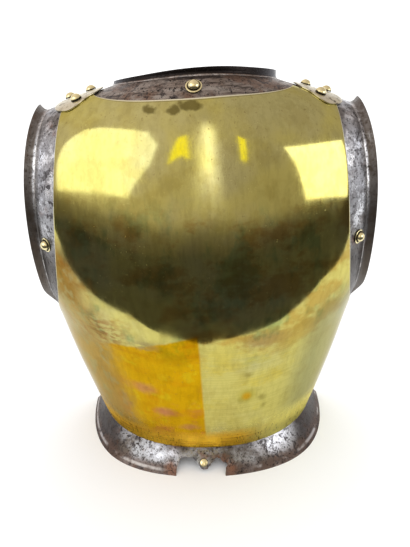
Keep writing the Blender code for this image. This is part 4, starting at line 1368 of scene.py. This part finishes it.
# %% Collar and flange
COLLAR_BROWN = (0.290, 0.235, 0.195)
COLLAR_LIGHT = (0.44, 0.41, 0.37)
COLLAR_DARK = (0.050, 0.038, 0.032)
COLLAR_RUST = (0.190, 0.105, 0.065)
FLANGE_END_PAINTED_SHADE = (0.050, 0.040, 0.034)
RIM_BROWN = (0.130, 0.088, 0.070)
NOTCH_RUST = (0.30, 0.150, 0.095)
CORRODED = (0.30, 0.26, 0.17)
NOTCH_CORNERS = (
    (-0.043, 0.004, 0.012, 0.010, 0.9),
    (0.026, 0.004, 0.010, 0.008, 0.9),
)

collar = steel.times(steel.span(steel.sum("ABSOLUTE", x), 0.096, 0.088), steel.span(z, 0.385, 0.400))
streaks = steel.noise(1.0, 5.0, 0.65, stretch=(16.0, 90.0, 330.0), seed=12.0)
steel.layer(collar, COLLAR_BROWN, 0.36, amount=0.80)
steel.layer(steel.times(collar, steel.span(streaks, 0.50, 0.66, 0.0, 0.8)), COLLAR_LIGHT, 0.30)
steel.layer(steel.times(collar, steel.span(streaks, 0.50, 0.38, 0.0, 0.85)), COLLAR_DARK)
warm = steel.span(steel.noise(30.0, 5.0, 0.6, seed=29.0), 0.50, 0.60, 0.0, 0.7)
steel.layer(steel.times(collar, warm), COLLAR_RUST, 0.42)
sideways = steel.sum("ABSOLUTE", rx)
# Painted shade: the ends of the flange are painted nearly black.
steel.layer(steel.times(flange, steel.span(sideways, 0.100, 0.118)), FLANGE_END_PAINTED_SHADE, 0.36, amount=0.90)
steel.layer(steel.times(flange, steel.span(rz, 0.0110, 0.0040)), RIM_BROWN, 0.45, amount=0.80)
steel.layer(steel.spots(NOTCH_CORNERS, ragged), NOTCH_RUST, 0.6, amount=0.75)
above_notch = steel.spot(-0.006, 0.021, 0.036, 0.010, 0.7, ragged)
grains = steel.span(steel.noise(330.0, 4.0, 0.7, seed=14.0), 0.44, 0.60)
steel.layer(steel.times(above_notch, grains), CORRODED, 0.55)
steel.tell()

# %% [markdown]
# Pits and lips. Rust has pitted the whole sheet, with dark blots round the deeper pits. The
# turned lips are dark, and the collar's lip is painted black as painted shade. The bend at their
# root carries a painted highlight, and so does the foot of the flange.

# %% Pits and lips
BLOT = (0.050, 0.044, 0.044)
PIT = (0.018, 0.014, 0.013)
PINPRICK = (0.085, 0.070, 0.065)
LIP_BROWN = (0.115, 0.094, 0.076)
COLLAR_LIP_PAINTED_SHADE = (0.022, 0.018, 0.017)
BEND_PAINTED_HIGHLIGHT = (0.66, 0.64, 0.62)
FOOT_PAINTED_HIGHLIGHT = (0.60, 0.57, 0.54)

blots = steel.span(steel.noise(150.0, 6.0, 0.7, seed=27.0), 0.52, 0.58)
blots = steel.times(blots, steel.span(steel.noise(28.0, 3.0, seed=28.0), 0.40, 0.58, 0.35, 0.9))
steel.layer(blots, BLOT, 0.42)
pits = steel.span(steel.noise(430.0, 4.0, 0.65, seed=5.0), 0.57, 0.64)
steel.layer(pits, PIT, 0.7, amount=0.9)
fine = steel.noise(1300.0, 2.0, seed=8.0)
steel.layer(steel.span(fine, 0.52, 0.72, 0.0, 0.65), PINPRICK)
on_lip = steel.node("ShaderNodeAttribute", attribute_name="lip").outputs["Fac"]
steel.layer(steel.span(on_lip, 0.30, 0.60), LIP_BROWN, 0.48, amount=0.80)
# Painted shade: the turned lip of the collar is painted black.
steel.layer(steel.times(collar, steel.span(on_lip, 0.32, 0.50)), COLLAR_LIP_PAINTED_SHADE, 0.38)
# Painted highlight along the bend at the root of each lip.
bend = steel.times(steel.span(on_lip, 0.02, 0.12), steel.span(on_lip, 0.36, 0.22))
steel.layer(steel.times(bend, steel.span(rubbed, 0.0, 1.0, 0.35, 0.95)), BEND_PAINTED_HIGHLIGHT, 0.28)
# Painted highlight: a bright line along the foot of the flange.
foot_painted_highlight = steel.times(flange, steel.span(z, 0.0050, 0.0036), steel.span(z, 0.0018, 0.0030),
                   steel.span(sideways, 0.045, 0.065), steel.span(blotch, 0.58, 0.44))
steel.layer(foot_painted_highlight, FOOT_PAINTED_HIGHLIGHT, 0.30, amount=0.60)
steel.relief(pits, -0.16)
steel.relief(steel.noise(200.0, 4.0, seed=11.0), 0.22)
steel.relief(fine, 0.05)
steel.relief(streaks, 0.10)
steel.finish(steel_plate)

# %% [markdown]
# The inside of the steel was never polished. It is a dull brown-grey with patches of rust.

# %% The finish inside
INSIDE_GREY = (0.15, 0.12, 0.10)
INSIDE_RUST = (0.12, 0.070, 0.045)
INSIDE_PIT = (0.04, 0.03, 0.025)

inside = Finish("dull_steel_inside", INSIDE_GREY, 0.62)
inside.layer(inside.span(inside.noise(30.0, 5.0), 0.45, 0.65), INSIDE_RUST, 0.75)
inside.layer(inside.span(inside.noise(300.0, 4.0), 0.58, 0.70), INSIDE_PIT, 0.8)
inside.relief(inside.noise(180.0, 4.0), 0.35)
inside.finish(steel_plate, slot=1)

# %% [markdown]
# The camera. The picture was taken from about half a metre, a little above the plate and
# looking down, with a wide lens. The camera stands there and looks the same way.

# %% The camera
CAMERA_PLACE = Vector((0.0008, -0.4713, 0.4482))
CAMERA_YAW = math.radians(0.095)
CAMERA_PITCH = math.radians(24.94)
CAMERA_ROLL = math.radians(-1.537)
FOCAL_LENGTH = 31.59
SENSOR_WIDTH = 36.0
NEAREST_SEEN = 0.01
lens = bpy.data.cameras.new("camera")
lens.lens = FOCAL_LENGTH
lens.sensor_width = SENSOR_WIDTH
lens.sensor_fit = "AUTO"
lens.clip_start = NEAREST_SEEN
camera = bpy.data.objects.new("camera", lens)
bpy.context.collection.objects.link(camera)
forward = Vector((math.sin(CAMERA_YAW) * math.cos(CAMERA_PITCH),
                  math.cos(CAMERA_YAW) * math.cos(CAMERA_PITCH), -math.sin(CAMERA_PITCH)))
level = Vector((math.cos(CAMERA_YAW), -math.sin(CAMERA_YAW), 0))
above = level.cross(forward)
right = level * math.cos(CAMERA_ROLL) + above * math.sin(CAMERA_ROLL)
up = -level * math.sin(CAMERA_ROLL) + above * math.cos(CAMERA_ROLL)
stance = Matrix((right, up, -forward)).transposed().to_4x4()
camera.matrix_world = Matrix.Translation(CAMERA_PLACE) @ stance
bpy.context.scene.camera = camera
bpy.context.scene.view_settings.view_transform = "Standard"
print("camera at", tuple(round(value, 3) for value in CAMERA_PLACE))

# %% [markdown]
# The floor and the light. The plate stands on pale paper, in a bright and even light that
# comes from all round, so a white world lights it. The paper has no sheen of its own.

# %% The floor and the world
WORLD_LIGHT = 1.36
FLOOR_SIZE = 12.0
WHITE = (1.0, 1.0, 1.0)
PAPER_WHITE = (0.94, 0.94, 0.94)

world = bpy.data.worlds.new("white_room")
bpy.context.scene.world = world
world.use_nodes = True
backdrop = world.node_tree.nodes["Background"]
backdrop.inputs["Color"].default_value = (*WHITE, 1.0)
backdrop.inputs["Strength"].default_value = WORLD_LIGHT

floor = added("floor", bpy.ops.mesh.primitive_plane_add, size=FLOOR_SIZE)
paper = Finish("paper", PAPER_WHITE, 0.9, 0.0)
paper.feed(paper.shader.inputs["Specular IOR Level"], 0.0)
paper.finish(floor)

# %% [markdown]
# A mirror shows what stands round it, so the room matters too. Two bright windows to the left
# and right, and two small yellow lamps between them, are cards of light that only reflections
# see. Their corners are in metres: across from the spine, back from the plate's open side, and
# up from the floor.

# %% Windows and lamps


def reflected_only(piece):
    piece.visible_camera = False
    piece.visible_diffuse = False
    piece.visible_shadow = False
    piece.visible_transmission = False
    piece.visible_volume_scatter = False


def glow(name, light_of):
    """An emission material. light_of gives its colour and strength, with a wiring of its own."""
    wiring = Wiring(name)
    wiring.tree.nodes.remove(wiring.tree.nodes["Principled BSDF"])
    emission = wiring.node("ShaderNodeEmission")
    colour, strength = light_of(wiring)
    wiring.feed(emission.inputs["Color"], colour)
    wiring.feed(emission.inputs["Strength"], strength)
    wiring.feed(wiring.tree.nodes["Material Output"].inputs["Surface"], emission.outputs[0])
    return wiring.made


def card(name, corners, colour, strength):
    """A fan of triangles through a ring of corners, seen only in reflections."""
    made = added(name, bpy.ops.mesh.primitive_circle_add,
                 vertices=len(corners), radius=1.0, fill_type="TRIFAN")
    ring = np.array(corners, float)
    ring[:, 1] += MIDDLE[1]
    rim = [vertex for vertex in made.data.vertices if vertex.co.length > 0.5]
    rim.sort(key=lambda vertex: math.atan2(vertex.co.y, vertex.co.x))
    hub = [vertex for vertex in made.data.vertices if vertex not in rim]
    for vertex, corner in zip(rim + hub, [*ring, ring.mean(0)]):
        vertex.co = corner
    made.data.materials.append(glow(name + "_light", lambda wiring: (colour, strength)))
    reflected_only(made)
    return made


LEFT_WINDOW = (
    (-.99, -.36, 1.20), (-.87, -.49, 1.25), (-.46, -.98, 1.17), (-.37, -1.19, 1.00), (-.46, -1.31, .79),
    (-.74, -1.33, .49), (-1.04, -1.12, .46), (-1.47, -.51, .36), (-1.40, -.42, .64), (-1.25, -.36, .94),
)
RIGHT_WINDOW = (
    (.79, -1.04, .93), (.94, -.90, .93), (1.30, -.30, .88), (1.46, -.44, .48),
    (1.52, -.45, .18), (1.31, -.87, .30), (1.09, -1.11, .37), (1.00, -1.12, .55),
)
LEFT_LAMP = (
    (-.27, -1.37, .79), (-.16, -1.17, 1.08), (-.10, -1.17, 1.11), (-.06, -1.36, .83), (-.13, -1.33, .88),
)
RIGHT_LAMP = ((.32, -1.14, 1.07), (.40, -1.14, 1.04), (.42, -1.33, .79), (.35, -1.34, .81))
LAMP_YELLOW = (1.0, 0.90, 0.08)
LIGHT_COLUMNS = ("name", "corners", "colour", "strength")
LIGHTS = (
    ("left_window", LEFT_WINDOW, WHITE, 2.1),
    ("right_window", RIGHT_WINDOW, WHITE, 2.9),
    ("left_fleck", LEFT_LAMP, LAMP_YELLOW, 1.7),
    ("right_fleck", RIGHT_LAMP, LAMP_YELLOW, 1.7),
)

for light in LIGHTS:
    card(*light)
print("cards of light:", ", ".join(column(LIGHTS, LIGHT_COLUMNS, "name")))

# %% [markdown]
# The paper ends before the plate, and the floor beyond it is dark. The mirror shows that edge
# as a great dark bowl, so the dark floor has the edge's slow waves. A black flag stands inside
# the hollow, behind the eaten notch, where it keeps the light of the open side off the floor.

# %% The dark floor and the flag
ROOM_RADIUS = 2.2
DARK_FLOOR_LIFT = 0.002
DARK_FLOOR = (0.95, 0.92, 0.90)
DARK_FLOOR_LIGHT = 0.095
PAPER_EDGE = (
    (-1.24, -.27), (-.97, -.23), (-.73, -.19), (-.57, -.22), (-.42, -.26), (-.28, -.33), (-.186, -.317),
    (-.094, -.326), (-.019, -.308), (0.0, -.289), (.008, -.309), (.09, -.315), (.176, -.29),
    (.248, -.256), (.351, -.252), (.517, -.247), (.626, -.171), (.737, -.132), (.77, -.104),
)
FLAG = ((-.075, -.112, .001), (.065, -.112, .001), (.065, -.118, .200), (-.075, -.118, .200))
BLACK = (0.0, 0.0, 0.0)


def beyond_paper():
    """The dark floor, from the paper's front edge to the room's wall."""
    made, at, _ = blank("dark_floor", len(PAPER_EDGE) - 1, 1)
    edge = np.array([(x, y + MIDDLE[1], DARK_FLOOR_LIFT) for x, y in PAPER_EDGE])
    edge[[0, -1], 0] = -ROOM_RADIUS, ROOM_RADIUS
    far = edge.copy()
    far[:, 1] = -ROOM_RADIUS
    form(made, at, np.stack([far, edge], 1))
    light = glow("dark_floor_light", lambda wiring: (DARK_FLOOR, DARK_FLOOR_LIGHT))
    made.data.materials.append(light)
    reflected_only(made)
    report(made)


beyond_paper()
flag = card("flag", FLAG, BLACK, 0.0)
flag.visible_diffuse = True
flag.visible_glossy = False
report(flag)

# %% [markdown]
# The room itself is a dome: olive dusk that is nearly black at the floor and lighter upwards
# and to the left, with a soft upright glow straight ahead, which the spine's furrow shows as a
# bright stripe. Behind the plate the dome gives way to daylight and then to nothing.

# %% The light of the room
ROOM_CENTRE = Vector((0.0, 0.0, 0.25))
ROOM_DEPTH = 1.90
ROOM_STOPS = (
    (0.30, 0.060), (0.40, 0.085), (0.46, 0.130), (0.50, 0.230),
    (0.54, 0.600), (0.80, 0.740), (0.92, 0.760),
)
ROOM_TINT = (1.0, 0.895, 0.84)
ROOM_SIDES = (-1.2, 1.2, 1.18, 0.80)
GLOW_DIRECTION = 0.040
GLOW_SPREAD = 0.105
GLOW_LIGHT = 1.7
GLOW_AHEAD = (-0.2, -0.5)
GLOW_FOOT = (0.36, 1.00)
GLOW_HEAD = (1.90, 1.60)
DAYLIGHT = (1.18, 1.20, 1.28)
DAYLIGHT_BEHIND = (-0.10, 0.35)
DAYLIGHT_HEAD = (1.25, 0.85)


def dusk(wiring, x, z):
    """Olive dusk, by height in the dome and by side."""
    ramp = wiring.node("ShaderNodeValToRGB")
    height = wiring.sum("MULTIPLY_ADD", z, 0.5 / ROOM_RADIUS, 0.5 - 0.5 * ROOM_CENTRE.z / ROOM_RADIUS)
    wiring.feed(ramp.inputs["Fac"], height)
    points = ramp.color_ramp.elements
    for position, _ in ROOM_STOPS[1:-1]:
        points.new(position)
    for point, (position, light) in zip(points, ROOM_STOPS):
        point.position = position
        point.color = (*(light * tint for tint in ROOM_TINT), 1.0)
    sided = wiring.node("ShaderNodeVectorMath", operation="SCALE")
    wiring.feed(sided.inputs[0], ramp.outputs["Color"])
    wiring.feed(sided.inputs["Scale"], wiring.span(x, *ROOM_SIDES))
    return sided.outputs[0]


def room_light(wiring):
    """Dusk, with the upright glow added to it and daylight mixed over it behind."""
    x, y, z = wiring.axis()
    off = wiring.sum("ABSOLUTE", wiring.sum("ADD", wiring.sum("DIVIDE", x, y), GLOW_DIRECTION))
    near = wiring.span(off, GLOW_SPREAD, 0.0)
    upright_glow = wiring.times(near, near, wiring.span(y, *GLOW_AHEAD), wiring.span(z, *GLOW_FOOT),
                                wiring.span(z, *GLOW_HEAD), GLOW_LIGHT)
    lit = wiring.node("ShaderNodeMix", data_type="RGBA", blend_type="ADD", clamp_factor=False)
    mixed = wiring.node("ShaderNodeMix", data_type="RGBA")
    behind = wiring.times(wiring.span(y, *DAYLIGHT_BEHIND), wiring.span(z, *DAYLIGHT_HEAD))
    for node, settings in ((lit, (upright_glow, dusk(wiring, x, z), WHITE)),
                           (mixed, (behind, lit.outputs[2], DAYLIGHT))):
        for socket, setting in zip((node.inputs[0], node.inputs[6], node.inputs[7]), settings):
            wiring.feed(socket, setting)
    return mixed.outputs[2], 1.0


room = added("room", bpy.ops.mesh.primitive_uv_sphere_add,
             segments=64, ring_count=32, radius=ROOM_RADIUS, location=(0, 0, 0))
for vertex in room.data.vertices:
    vertex.co += ROOM_CENTRE
open_mesh(room)
bpy.ops.mesh.bisect(plane_co=(0, ROOM_DEPTH, 0), plane_no=(0, 1, 0), clear_outer=True)
bpy.ops.object.mode_set(mode="OBJECT")
room.data.materials.append(glow("room_light", room_light))
reflected_only(room)
report(room)
